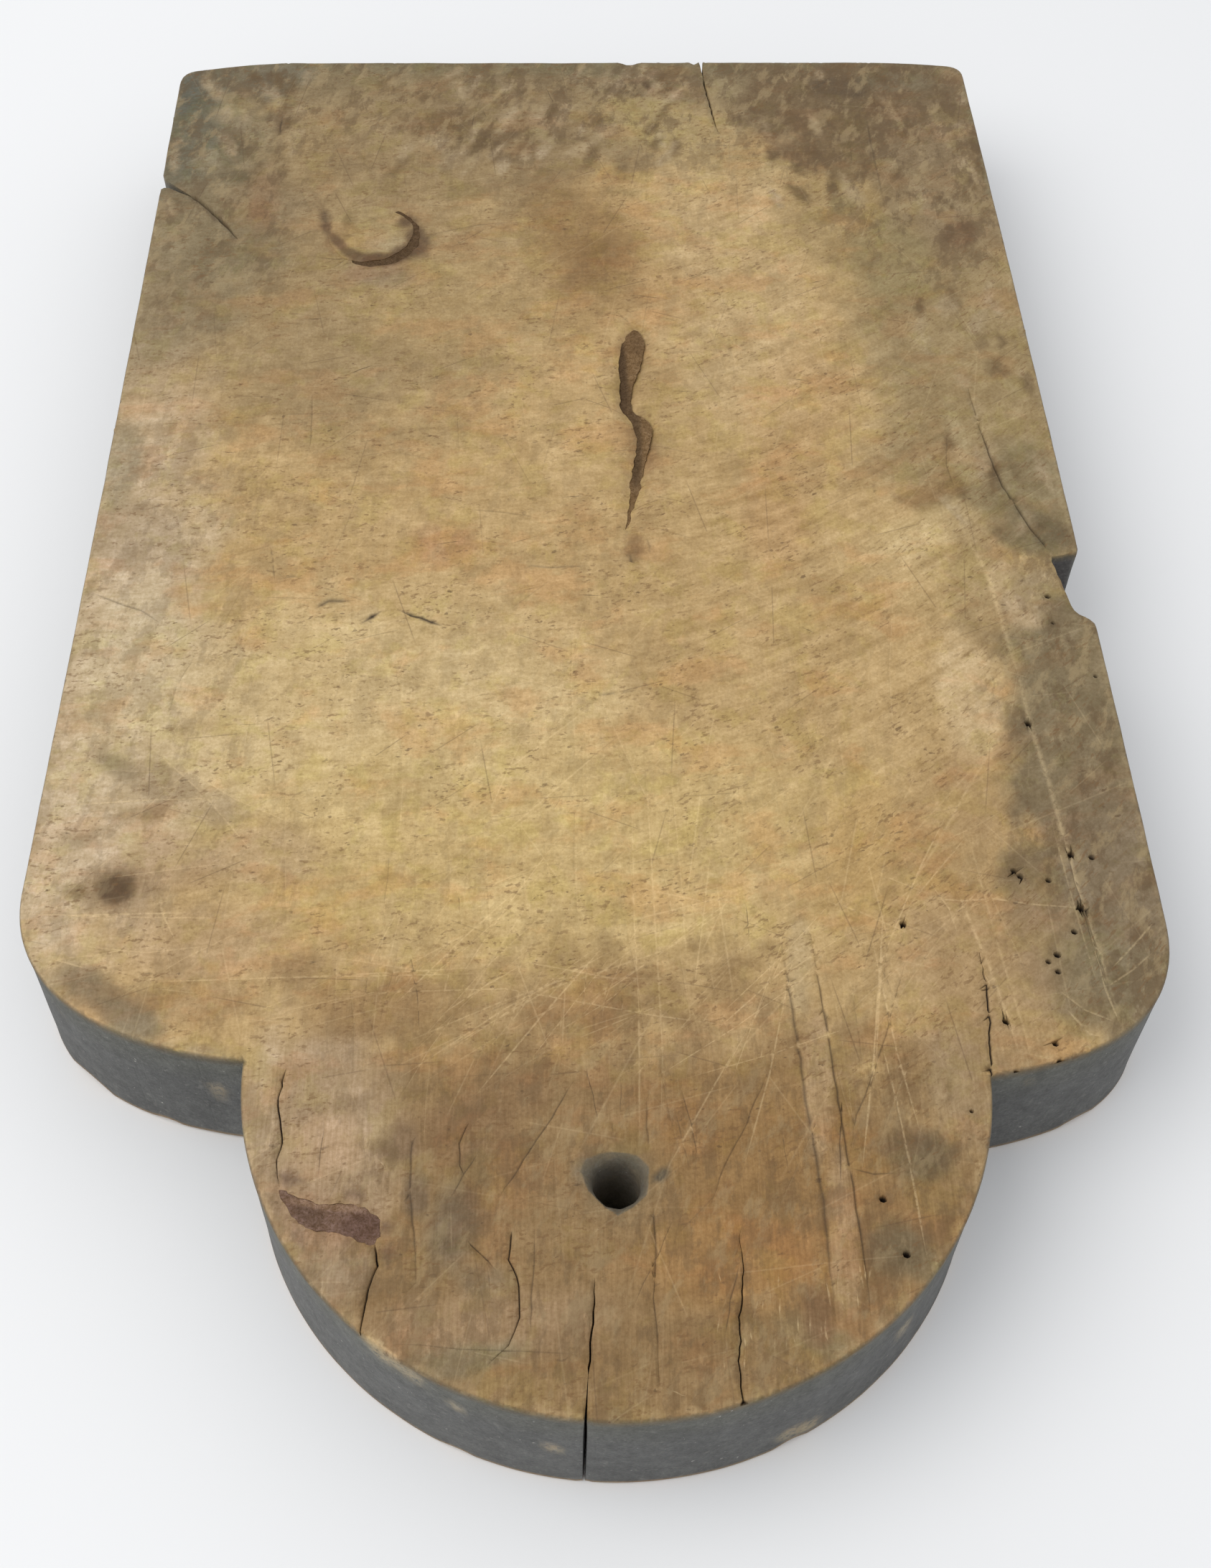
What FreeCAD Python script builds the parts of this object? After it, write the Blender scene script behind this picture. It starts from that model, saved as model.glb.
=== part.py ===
import FreeCAD
import Part
import math
import os

from FreeCAD import Vector

# An old kitchen chopping board: one thick plank with a rounded handle lobe, a hanging hole,
# a broken notch in one edge, drying splits, an encased knot and three pockets of bark.
# Millimetres. The origin is under the middle of the board, +Z up, the handle lobe towards -Y
# and the straight far end towards +Y.

# ---- The plank in plan ----
length = 442.0  # tip of the lobe to the far end
width = 261.0  # widest, across the shoulders
far_taper = 10.2  # how much narrower the far end is
far_offset = -0.9  # how far the far end's middle lies to +X
thickness = 38.8
left_bow = -0.5  # how far the left side swells out from a straight line
right_bow = 0.5

# Far end: a straight stretch that falls away to two worn corners
far_skew = 1.3  # how much lower the straight stretch is at its left end
far_left_reach = 33.0  # from the left side to the start of the straight stretch
far_right_reach = 32.5
left_corner_across = 6.6
left_corner_drop = 5.2  # where the end meets the corner, below the far end
left_corner_down = 12.5  # where the side meets the corner, below the far end
right_corner_across = 6.1
right_corner_drop = 1.7
right_corner_down = 8.0

# Handle lobe: a broad half ellipse
lobe_depth = 77.1
lobe_half_width = 80.85
lobe_offset = 4.3  # how far its middle lies to +X
left_neck_rise = 2.5  # the inner corner, above the lobe's middle
right_neck_rise = -3.1

# Shoulders: where each leaves the side, above the lobe's middle, and how strongly it is bent
left_shoulder_rise = 45.9
left_shoulder_side_pull = 29.5
left_shoulder_neck_pull = 23.0
left_neck_slope = 0.10
right_shoulder_rise = 35.9
right_shoulder_side_pull = 31.6
right_shoulder_neck_pull = 15.8
right_neck_slope = 0.20

# ---- Hanging hole, bored through the lobe and worn open at both mouths ----
hole_radius = 5.5
hole_across = 3.5
hole_from_tip = 50.5
top_mouth_wear = 1.9  # how much wider the mouth is than the bore
top_mouth_depth = 4.0
bottom_mouth_wear = 1.1
bottom_mouth_depth = 2.0

# ---- Notch broken out of the right edge, through the whole thickness ----
notch_height = 5.0  # its far wall, above the middle of the board
notch_far_inset = 5.6  # from the right side to the far wall's inner end
notch_near_inset = 3.7
notch_far_length = 15.0  # far wall to the near corner
notch_lip_length = 22.0  # far wall to where the near lip meets the side

# ---- Splits: open at the rim, closing to a hairline inside ----
cut_margin = 2.0  # how far a cut starts outside the rim
hairline = 0.2
left_split_opening = 1.8
left_split_depth = 30.0
left_split_from_far = 62.5
left_split_reach = 27.0
left_split_fall = 27.0
far_split_opening = 0.8
far_split_depth = 14.0
far_split_across = 40.2
far_split_length = 35.0
tip_split_opening = 0.8
tip_split_across = -3.5
tip_split_length = 23.0
side_split_opening = 0.5
side_split_across = 26.7
side_split_length = 22.0

# ---- Encased knot: a tapered plug with bark caught on one side ----
knot_across = -62.5
knot_from_far = 86.5
knot_radius = 12.6
knot_depth = 26.0
knot_taper = 5.0  # how much smaller its radius is at its bottom
knot_bark_thickness = 1.0  # all round; the shift adds to it on the near and right sides
knot_bark_shift_x = 1.6
knot_bark_shift_y = -1.4

# ---- Bark pocket in the lobe ----
pocket_across = -56.0
pocket_from_tip = 43.4
pocket_depth = 7.0

# ---- Open seam in the middle, with bark at its bottom ----
seam_across = 11.0
seam_low_end = 16.0  # above the middle of the board
seam_depth = 9.0
seam_bark_top = 2.2  # how far the bark lies below the face


# ---- Lines that the features hang from ----
far_y = length / 2
tip_y = -length / 2
side_x = width / 2
far_left_x = far_offset - (width - far_taper) / 2
far_right_x = far_offset + (width - far_taper) / 2
lobe_y = tip_y + lobe_depth


def prism(points, bottom, top):
    """A straight-sided solid over a closed polygon given as (x, y) points."""
    corners = [Vector(x, y, bottom) for x, y in points]
    face = Part.Face(Part.makePolygon(corners + corners[:1]))
    return face.extrude(Vector(0, 0, top - bottom))


def arc(start, middle, end):
    return Part.Arc(Vector(*start, 0), Vector(*middle, 0), Vector(*end, 0)).toShape()


def bowed_side(start, end, bow):
    """A side of the plank, swelling outwards by bow at its middle."""
    chord = math.dist(start, end)
    out_x = (end[1] - start[1]) / chord
    out_y = -(end[0] - start[0]) / chord
    middle = ((start[0] + end[0]) / 2 + out_x * bow, (start[1] + end[1]) / 2 + out_y * bow)
    return arc(start, middle, end)


def shoulder(side_point, side_pull, neck_point, neck_pull, neck_slope):
    """A Bezier curve that leaves the side square and runs in to the neck of the lobe."""
    outwards = math.copysign(1, side_point[0])
    curve = Part.BezierCurve()
    curve.setPoles([
        Vector(*side_point, 0),
        Vector(side_point[0], side_point[1] - side_pull, 0),
        Vector(neck_point[0] + outwards * neck_pull, neck_point[1] + neck_slope * neck_pull, 0),
        Vector(*neck_point, 0),
    ])
    return curve.toShape()


def neck_point(outwards, rise):
    """The point of the lobe's ellipse at this height above the lobe's middle."""
    reach = lobe_half_width * math.sqrt(1 - (rise / lobe_depth) ** 2)
    return (lobe_offset + outwards * reach, lobe_y + rise)


def lobe_edge(left_neck, right_neck):
    """The lobe's rim as one smooth curve through points of its ellipse, left neck to right neck."""
    start = math.pi - math.asin(left_neck_rise / lobe_depth)
    end = 2 * math.pi + math.asin(right_neck_rise / lobe_depth)
    steps = 24
    points = [Vector(*left_neck, 0)]
    for step in range(1, steps):
        angle = start + (end - start) * step / steps
        x = lobe_offset + lobe_half_width * math.cos(angle)
        points.append(Vector(x, lobe_y + lobe_depth * math.sin(angle), 0))
    points.append(Vector(*right_neck, 0))
    curve = Part.BSplineCurve()
    curve.interpolate(points)
    return curve.toShape()


def plan_wire():
    """The plank's outline, counter-clockwise from the lobe."""
    left_neck = neck_point(-1, left_neck_rise)
    right_neck = neck_point(1, right_neck_rise)
    left_shoulder = (-side_x, lobe_y + left_shoulder_rise)
    right_shoulder = (side_x, lobe_y + right_shoulder_rise)
    right_low = (far_right_x, far_y - right_corner_down)
    right_high = (far_right_x - right_corner_across, far_y - right_corner_drop)
    straight_right = (far_right_x - far_right_reach, far_y)
    straight_left = (far_left_x + far_left_reach, far_y - far_skew)
    left_high = (far_left_x + left_corner_across, far_y - left_corner_drop)
    left_low = (far_left_x, far_y - left_corner_down)
    right_bulge = (
        far_right_x - right_corner_across * 0.25,
        far_y - right_corner_drop - (right_corner_down - right_corner_drop) * 0.3,
    )
    left_bulge = (
        far_left_x + left_corner_across * 0.25,
        far_y - left_corner_drop - (left_corner_down - left_corner_drop) * 0.3,
    )
    right_fall = (
        (straight_right[0] + right_high[0]) / 2,
        far_y - right_corner_drop * 0.3,
    )
    left_fall = (
        (straight_left[0] + left_high[0]) / 2,
        far_y - far_skew - (left_corner_drop - far_skew) * 0.36,
    )
    edges = [
        lobe_edge(left_neck, right_neck),
        shoulder(right_shoulder, right_shoulder_side_pull, right_neck, right_shoulder_neck_pull,
                 right_neck_slope),
        bowed_side(right_shoulder, right_low, right_bow),
        arc(right_low, right_bulge, right_high),
        arc(right_high, right_fall, straight_right),
        Part.makeLine(Vector(*straight_right, 0), Vector(*straight_left, 0)),
        arc(straight_left, left_fall, left_high),
        arc(left_high, left_bulge, left_low),
        bowed_side(left_low, left_shoulder, left_bow),
        shoulder(left_shoulder, left_shoulder_side_pull, left_neck, left_shoulder_neck_pull,
                 left_neck_slope),
    ]
    return Part.Wire(Part.__sortEdges__(edges))


def plank():
    """The whole plank, before anything is cut from it."""
    return Part.Face(plan_wire()).extrude(Vector(0, 0, thickness))


def hanging_hole():
    """The bore and its two worn mouths."""
    centre = Vector(hole_across, tip_y + hole_from_tip, 0)
    top_base = centre + Vector(0, 0, thickness - top_mouth_depth)
    top_radius = hole_radius + top_mouth_wear
    bottom_radius = hole_radius + bottom_mouth_wear
    bore = Part.makeCylinder(hole_radius, thickness, centre)
    top = Part.makeCone(hole_radius, top_radius, top_mouth_depth, top_base)
    bottom = Part.makeCone(bottom_radius, hole_radius, bottom_mouth_depth, centre)
    return bore.fuse([top, bottom])


def notch():
    """The piece broken out of the right edge."""
    shoulder_y = lobe_y + right_shoulder_rise
    share = (notch_height - shoulder_y) / (far_y - shoulder_y)
    rim_x = side_x + (far_right_x - side_x) * share
    beyond = max(side_x, far_right_x) + cut_margin
    points = [
        (beyond, notch_height + 1.3),
        (rim_x - notch_far_inset - 1.6, notch_height - 0.6),
        (rim_x - notch_far_inset, notch_height - notch_far_length / 2),
        (rim_x - notch_near_inset - 1.4, notch_height - notch_far_length),
        (rim_x - notch_near_inset, notch_height - notch_far_length - 4.0),
        (beyond, notch_height - notch_lip_length),
    ]
    return prism(points, 0, thickness)


def split(mouth, bend, end, opening, depth):
    """A wedge-shaped slot from outside the rim through a bend to its closed end."""
    away_x = mouth[0] - bend[0]
    away_y = mouth[1] - bend[1]
    size = math.hypot(away_x, away_y)
    across_x = -away_y / size
    across_y = away_x / size
    points = []
    for (x, y), width in ((mouth, opening), (bend, opening * 0.6), (end, hairline)):
        points.append((x + across_x * width / 2, y + across_y * width / 2))
    for (x, y), width in ((end, hairline), (bend, opening * 0.6), (mouth, opening)):
        points.append((x - across_x * width / 2, y - across_y * width / 2))
    return prism(points, thickness - depth, thickness)


def splits():
    """Four drying splits: left side, far end, and two through the lobe's rim."""
    left_y = far_y - left_split_from_far
    left_x = far_left_x - cut_margin
    far_end = far_split_across + 3.0
    tip_end = tip_y + tip_split_length
    side_end = tip_y + side_split_length + 3.0
    return [
        split(
            (left_x, left_y + cut_margin),
            (left_x + 10.0, left_y - 5.0),
            (far_left_x + left_split_reach, left_y - left_split_fall),
            left_split_opening,
            left_split_depth,
        ),
        split(
            (far_split_across, far_y + cut_margin),
            (far_split_across + 0.8, far_y - far_split_length / 2),
            (far_end, far_y - far_split_length),
            far_split_opening,
            far_split_depth,
        ),
        split(
            (tip_split_across, tip_y - cut_margin),
            (tip_split_across + 0.5, tip_y + tip_split_length / 2),
            (tip_split_across + 1.5, tip_end),
            tip_split_opening,
            thickness,
        ),
        split(
            (side_split_across, tip_y - cut_margin),
            (side_split_across + 0.3, tip_y + side_split_length / 2),
            (side_split_across + 0.8, side_end),
            side_split_opening,
            thickness,
        ),
    ]


def knot_plug():
    """The branch's tapered plug."""
    base = Vector(knot_across, far_y - knot_from_far, thickness - knot_depth)
    return Part.makeCone(knot_radius - knot_taper, knot_radius, knot_depth, base)


def knot_bark_hull():
    """The larger tapered plug that the bark fills around the knot."""
    x = knot_across + knot_bark_shift_x
    y = far_y - knot_from_far + knot_bark_shift_y
    base = Vector(x, y, thickness - knot_depth)
    radius = knot_radius + knot_bark_thickness
    return Part.makeCone(radius - knot_taper, radius, knot_depth, base)


def handle_pocket():
    """The ingrown pocket in the left of the lobe: a long blade with a blunt right end."""
    x = pocket_across
    y = tip_y + pocket_from_tip
    points = [
        (x - 10.4, y + 6.3),
        (x - 8.6, y + 1.6),
        (x - 4.3, y - 2.2),
        (x + 1.4, y - 3.4),
        (x + 5.5, y - 4.9),
        (x + 8.9, y - 6.6),
        (x + 10.8, y - 4.2),
        (x + 10.1, y + 0.1),
        (x + 5.6, y + 2.6),
        (x - 0.1, y + 2.7),
        (x - 6.0, y + 4.6),
    ]
    return prism(points, thickness - pocket_depth, thickness)


def seam_outline():
    """The open seam: a blunt far end, a slim waist, one bulge and a long near point."""
    x = seam_across
    y = seam_low_end
    return [
        (x - 0.6, y),
        (x + 1.6, y + 5.0),
        (x + 4.2, y + 21.0),
        (x + 6.6, y + 30.0),
        (x + 7.6, y + 38.0),
        (x + 4.6, y + 41.0),
        (x + 1.6, y + 47.0),
        (x + 3.2, y + 56.0),
        (x + 6.0, y + 66.0),
        (x + 5.6, y + 75.0),
        (x + 2.6, y + 76.6),
        (x - 0.2, y + 71.0),
        (x - 0.8, y + 54.0),
        (x - 0.2, y + 45.0),
        (x + 2.4, y + 38.0),
        (x + 3.0, y + 30.0),
        (x + 1.4, y + 21.0),
        (x + 0.2, y + 10.0),
    ]


def seam(top):
    return prism(seam_outline(), thickness - seam_depth, top)


def board():
    cuts = [hanging_hole(), notch()] + splits()
    cuts += [knot_plug(), knot_bark_hull(), handle_pocket(), seam(thickness)]
    solid = plank()
    for cut in cuts:
        solid = solid.cut(cut)
    return solid


pieces = {
    "board": board(),
    "knot": knot_plug(),
    "knot_bark": knot_bark_hull().cut(knot_plug()),
    "handle_bark": handle_pocket(),
    "seam_bark": seam(thickness - seam_bark_top),
}

os.makedirs("parts", exist_ok=True)
for name, shape in pieces.items():
    solids = shape.Solids
    whole = solids[0] if len(solids) == 1 else Part.makeCompound(solids)
    whole.exportStep(f"parts/{name}.step")
    box = shape.BoundBox
    print(name, len(solids), "solid(s)", shape.isValid(), round(shape.Volume), "mm3",
          [round(v, 2) for v in (box.XMin, box.XMax, box.YMin, box.YMax, box.ZMin, box.ZMax)])
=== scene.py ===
import math
import random

import bpy
import numpy as np
from mathutils import Matrix, Vector, geometry, kdtree, noise


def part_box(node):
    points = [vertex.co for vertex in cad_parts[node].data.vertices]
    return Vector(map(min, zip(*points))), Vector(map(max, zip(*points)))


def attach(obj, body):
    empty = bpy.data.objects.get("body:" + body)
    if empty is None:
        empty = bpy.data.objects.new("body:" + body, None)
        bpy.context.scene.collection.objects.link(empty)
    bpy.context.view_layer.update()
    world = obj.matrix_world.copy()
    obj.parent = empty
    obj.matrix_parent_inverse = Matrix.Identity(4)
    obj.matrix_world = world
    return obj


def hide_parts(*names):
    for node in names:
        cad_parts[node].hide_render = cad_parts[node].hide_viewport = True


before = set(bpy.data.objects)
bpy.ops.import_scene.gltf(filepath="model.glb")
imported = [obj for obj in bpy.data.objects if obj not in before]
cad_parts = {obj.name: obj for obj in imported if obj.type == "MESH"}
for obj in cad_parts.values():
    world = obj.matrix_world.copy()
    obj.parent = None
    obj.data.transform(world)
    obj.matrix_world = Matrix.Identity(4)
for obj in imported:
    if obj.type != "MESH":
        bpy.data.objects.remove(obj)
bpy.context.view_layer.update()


# The camera
# It stands over the near end of the board and looks down along it, a little askew.
def placed(name, data):
    """A new object in the scene."""
    thing = bpy.data.objects.new(name, data)
    bpy.context.scene.collection.objects.link(thing)
    return thing


camera_data = bpy.data.cameras.new("camera")
camera_data.sensor_width = 36.0
camera_data.lens = 46.15
camera_data.clip_start = 0.01
camera = placed("camera", camera_data)
camera.matrix_world = (
    Matrix.Translation((-0.0093, -0.3504, 0.4243))
    @ Matrix.Rotation(math.radians(-2.55), 4, "Z")
    @ Matrix.Rotation(math.radians(90 - 53.79), 4, "X")
    @ Matrix.Rotation(math.radians(1.68), 4, "Z")
)
bpy.context.scene.camera = camera


# The table and the light
# A pale, matt table top, a soft lamp high on the left towards the near end, and even light
# from all round.
floor_mesh = bpy.data.meshes.new("table")
floor_mesh.from_pydata([(-3, -3, -5e-5), (3, -3, -5e-5), (3, 3, -5e-5), (-3, 3, -5e-5)], [], [(0, 1, 2, 3)])
floor = placed("table", floor_mesh)
table_finish = bpy.data.materials.new("table finish")
table_finish.use_nodes = True
table_shader = table_finish.node_tree.nodes["Principled BSDF"]
table_shader.inputs["Base Color"].default_value = (0.91, 0.915, 0.92, 1)
table_shader.inputs["Roughness"].default_value = 0.9
table_shader.inputs["Specular IOR Level"].default_value = 0.1
floor_mesh.materials.append(table_finish)

world = bpy.data.worlds.new("room")
bpy.context.scene.world = world
world.use_nodes = True
world.node_tree.nodes["Background"].inputs["Color"].default_value = (0.97, 0.98, 1.0, 1)
world.node_tree.nodes["Background"].inputs["Strength"].default_value = 0.78


def soft_lamp(name, place, size, power, colour):
    lamp_data = bpy.data.lights.new(name, "AREA")
    lamp_data.shape = "DISK"
    lamp_data.size = size
    lamp_data.energy = power
    lamp_data.color = colour
    lamp = placed(name, lamp_data)
    lamp.location = place
    lamp.rotation_euler = (-Vector(place)).to_track_quat("-Z", "Y").to_euler()


soft_lamp("window", (-1.05, -0.3, 1.45), 1.6, 12.0, (1.0, 0.99, 0.97))
bpy.context.scene.view_settings.view_transform = "Standard"


# The plank
# One thick board, sawn and shaped by hand, with rounded shoulders and a broad lobe to hold it
# by. The wood is bare. Its rim has gone grey, its face is worn by knives, and it has dried
# out, split and lost a chip from its right edge. All sizes in this section are millimetres.
MM = 0.001
low, high = (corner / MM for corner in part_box("board"))
thickness = high.z
far_y = high.y
tip_y = -high.y
side_x = high.x

far_left_x = -0.9 - (2 * side_x - 10.2) / 2
far_right_x = -0.9 + (2 * side_x - 10.2) / 2
lobe_depth = 77.1
lobe_half_width = 80.85
lobe_middle = Vector((4.3, tip_y + lobe_depth))


def through(start, middle, end, count):
    """Points of a gentle curve from start through middle, without its end point."""
    start, middle, end = Vector(start), Vector(middle), Vector(end)
    pull = middle * 2 - (start + end) / 2
    points = []
    for step in range(count):
        t = step / count
        points.append(start * (1 - t) ** 2 + pull * (2 * t * (1 - t)) + end * t * t)
    return points


def bend(start, start_pull, end_pull, end, count):
    """Points of a Bezier curve, without its end point."""
    start, start_pull, end_pull, end = map(Vector, (start, start_pull, end_pull, end))
    points = []
    for step in range(count):
        t = step / count
        u = 1 - t
        points.append(start * u**3 + start_pull * (3 * u * u * t) + end_pull * (3 * u * t * t) + end * t**3)
    return points


def heading(turn):
    """A step of one millimetre in the direction turn."""
    return Vector((math.cos(turn), math.sin(turn)))


def held(share):
    """The share, kept from 0 to 1."""
    return max(0.0, min(1.0, share))


def lobe_point(angle):
    return lobe_middle + Vector((lobe_half_width * math.cos(angle), lobe_depth * math.sin(angle)))


def spaced(points, gap, closed=True):
    """The same line with a point about every gap, keeping its corners."""
    result = []
    ends = points[1:] + points[:1] if closed else points[1:]
    for start, end in zip(points, ends):
        count = max(1, round((end - start).length / gap))
        for step in range(count):
            result.append(start.lerp(end, step / count))
    if not closed:
        result.append(points[-1].copy())
    return result


def plank_rim():
    """The plank's outline, counter-clockwise, before its splits and its chip."""
    left_angle = math.pi - math.asin(2.5 / lobe_depth)
    right_angle = 2 * math.pi - math.asin(3.1 / lobe_depth)
    rim = [lobe_point(left_angle + (right_angle - left_angle) * step / 150) for step in range(150)]
    right_neck = lobe_point(right_angle)
    right_shoulder = Vector((side_x, lobe_middle.y + 35.9))
    rim += bend(right_neck, right_neck + Vector((15.8, 3.2)), right_shoulder - Vector((0, 31.6)),
                right_shoulder, 40)
    right_low = Vector((far_right_x, far_y - 8.0))
    right_high = Vector((far_right_x - 6.1, far_y - 1.7))
    straight_right = Vector((far_right_x - 32.5, far_y))
    straight_left = Vector((far_left_x + 33.0, far_y - 1.3))
    left_high = Vector((far_left_x + 6.6, far_y - 5.2))
    left_low = Vector((far_left_x, far_y - 12.5))
    rim += through(right_shoulder, (right_shoulder + right_low) / 2 + Vector((0.5, 0)), right_low, 200)
    rim += through(right_low, (far_right_x - 1.5, far_y - 3.6), right_high, 8)
    rim += through(right_high, (right_high.x - 13.2, far_y - 0.5), straight_right, 16)
    rim += through(straight_right, (straight_right + straight_left) / 2, straight_left, 120)
    rim += through(straight_left, (left_high.x + 13.2, far_y - 2.7), left_high, 18)
    rim += through(left_high, (far_left_x + 1.7, far_y - 7.4), left_low, 9)
    left_shoulder = Vector((-side_x, lobe_middle.y + 45.9))
    left_neck = lobe_point(left_angle)
    rim += through(left_low, (left_low + left_shoulder) / 2 + Vector((0.5, 0)), left_shoulder, 195)
    rim += bend(left_shoulder, left_shoulder - Vector((0, 29.5)), left_neck + Vector((-23.0, 2.3)),
                left_neck, 42)
    return rim


def wobble(rim):
    """The rim as a hand saw and a spokeshave leave it: in by up to a quarter millimetre."""
    result = []
    for point in rim:
        depth = 0.0
        for size, amount in ((40.0, 0.12), (9.0, 0.10), (2.5, 0.05)):
            depth += amount * (noise.noise((point.x / size, point.y / size, size)) * 0.5 + 0.5)
        inwards = Vector((-point.x, -point.y * 0.6)).normalized()
        result.append(point + inwards * depth)
    return result


def bite(rim, first, last, inner):
    """The rim with the stretch from near first to near last replaced by the inner points."""
    starts = min(range(len(rim)), key=lambda i: (rim[i] - Vector(first)).length)
    stops = min(range(len(rim)), key=lambda i: (rim[i] - Vector(last)).length)
    return rim[:starts] + [Vector(first)] + [Vector(p) for p in inner] + [Vector(last)] + rim[stops + 1:]


rim = wobble(plank_rim())
# Splits that open through the rim, from one lip by the deepest point to the other lip, and the broken chip.
rim = bite(rim, (-4.0, tip_y + 0.75), (-3.5, tip_y + 0.75), [
    (-3.65, tip_y + 4), (-3.0, tip_y + 11), (-3.35, tip_y + 4)])
rim = bite(rim, (127.6, -17.2), (128.2, 6.0), [
    (126.6, -16.4), (125.2, -15.5), (124.2, -14.2), (123.6, -12.4), (123.3, -10.5), (123.0, -8.6),
    (122.5, -6.2), (122.3, -4.0), (121.7, -2.0), (121.5, 0.4), (120.9, 2.6), (121.2, 4.4),
    (122.6, 4.7), (124.0, 4.9), (125.6, 5.5), (127.0, 5.6)])
rim = bite(rim, (40.6, far_y - 0.4), (39.6, far_y - 0.5), [
    (40.4, far_y - 4), (40.6, far_y - 11), (39.9, far_y - 4)])
rim = bite(rim, (-125.9, 161.2), (-126.7, 156.2), [
    (-125.2, 159.6), (-122.9, 157.6), (-119.6, 154.6), (-116.0, 151.3), (-120.2, 153.6), (-124.0, 156.0)])

# How round the top and bottom edges are worn, all along the rim, and where they are chipped.
top_chips = [((-44, -205), 6, 1.6), ((-70, -172), 7, 0.8), ((17, 221), 3, 2.2),
             ((38, 221), 1.4, 1.8), ((127, -16), 4, 1.6), ((-126, 158), 4, 1.2), ((60, -199), 10, 0.3)]
bottom_chips = [((-118, -126), 7, 2.6), ((40, -213), 3.5, 1.6), ((-100, -139), 5, 1.8),
                ((-30, -213), 4, 1.0), ((112, -139), 5, 1.4), ((130, 60), 8, 1.5), ((-128, 40), 8, 1.6)]


def edge_wear(point, base, chips, seed):
    wear = base * (1 + 0.35 * noise.noise((point.x / 11, point.y / 11, seed)))
    for (x, y), reach, extra in chips:
        away = math.hypot(point.x - x, point.y - y) / reach
        wear += extra * max(0.0, 1 - away * away)
    return wear


def inside(points, loop):
    """Which of the points lie in the closed loop, as a numpy mask."""
    points = np.asarray(points)
    mask = np.zeros(len(points), bool)
    for start, end in zip(loop, loop[1:] + loop[:1]):
        if start.y == end.y:
            continue
        crosses = (start.y > points[:, 1]) != (end.y > points[:, 1])
        at_x = start.x + (points[:, 1] - start.y) / (end.y - start.y) * (end.x - start.x)
        mask ^= crosses & (points[:, 0] < at_x)
    return mask


def triangulated(loops, lines, loose, holes):
    """Delaunay triangles of the first loop less the holes. Gives points, triangles, and for each
    loop the indices of its points."""
    places = []
    links = []
    firsts = []
    for loop in loops:
        firsts.append(len(places))
        links += [(len(places) + i, len(places) + (i + 1) % len(loop)) for i in range(len(loop))]
        places += loop
    for line in lines:
        links += [(len(places) + i, len(places) + i + 1) for i in range(len(line) - 1)]
        places += line
    places = [Vector((p[0], p[1])) for p in places] + [Vector((p[0], p[1])) for p in loose]
    found, _, triangles, origins, _, _ = geometry.delaunay_2d_cdt(places, links, [], 0, 1e-4)
    new_index = {}
    for new, olds in enumerate(origins):
        for old in olds:
            new_index[old] = new
    flat = np.array([(p.x, p.y) for p in found])
    triangles = np.array(triangles)
    middles = flat[triangles].mean(axis=1)
    keep = inside(middles, loops[0])
    for hole in holes:
        keep &= ~inside(middles, hole)
    sides = flat[triangles]
    to_second, to_third = sides[:, 1] - sides[:, 0], sides[:, 2] - sides[:, 0]
    twice = to_second[:, 0] * to_third[:, 1] - to_second[:, 1] * to_third[:, 0]
    keep &= np.abs(twice) > 1e-9
    triangles[twice < 0] = triangles[twice < 0][:, ::-1]
    loop_indices = [[new_index[first + i] for i in range(len(loop))] for first, loop in zip(firsts, loops)]
    return flat, triangles[keep], loop_indices


def ground(x, y, gap, seed):
    """Loose points over the box x by y, about gap apart, shaken so that no rows show."""
    shaker = random.Random(seed)
    points = []
    row = 0
    height = y[0]
    while height < y[1]:
        across = x[0] + (gap / 2 if row % 2 else 0)
        while across < x[1]:
            aside, along = shaker.uniform(-0.25, 0.25), shaker.uniform(-0.25, 0.25)
            points.append((across + aside * gap, height + along * gap))
            across += gap
        height += gap * 0.87
        row += 1
    return points


def clear_of(points, loops, gap):
    """The points that are at least gap from every point of the loops and lines."""
    count = sum(len(loop) for loop in loops)
    tree = kdtree.KDTree(count)
    for loop in loops:
        for p in loop:
            tree.insert((p[0], p[1], 0), 0)
    tree.balance()
    return [p for p in points if tree.find((p[0], p[1], 0))[2] >= gap]


# The hanging hole: a five-cornered whittled mouth that narrows to a round bore.
hole_middle = Vector((3.5, tip_y + 50.5))
hole_sides = 60
hole_corners = [(-90, 7.9), (-58, 6.5), (-28, 7.0), (26, 7.9), (57, 7.7), (110, 7.5), (140, 8.6), (162, 8.2),
                (200, 6.2), (242, 6.0), (270, 7.9)]


def mouth_reach(degrees):
    """How far the mouth reaches from the bore's middle, with nearly straight cuts between corners."""
    degrees = (degrees + 90) % 360 - 90
    for (a, reach_a), (b, reach_b) in zip(hole_corners, hole_corners[1:]):
        if a <= degrees <= b:
            angle_a, angle_b, angle = math.radians(a), math.radians(b), math.radians(degrees)
            cut = reach_a * reach_b * math.sin(angle_b - angle_a)
            cut /= reach_a * math.sin(angle - angle_a) + reach_b * math.sin(angle_b - angle)
            return cut * 0.8 + 0.2 * (reach_a + reach_b) / 2
    return 7.5


def hole_ring(reach):
    ring = []
    for step in range(hole_sides):
        degrees = 360 * step / hole_sides
        ring.append(hole_middle + heading(math.radians(degrees)) * reach(degrees))
    return ring


top_mouth = hole_ring(mouth_reach)
bottom_mouth = hole_ring(lambda degrees: 6.6)

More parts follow.
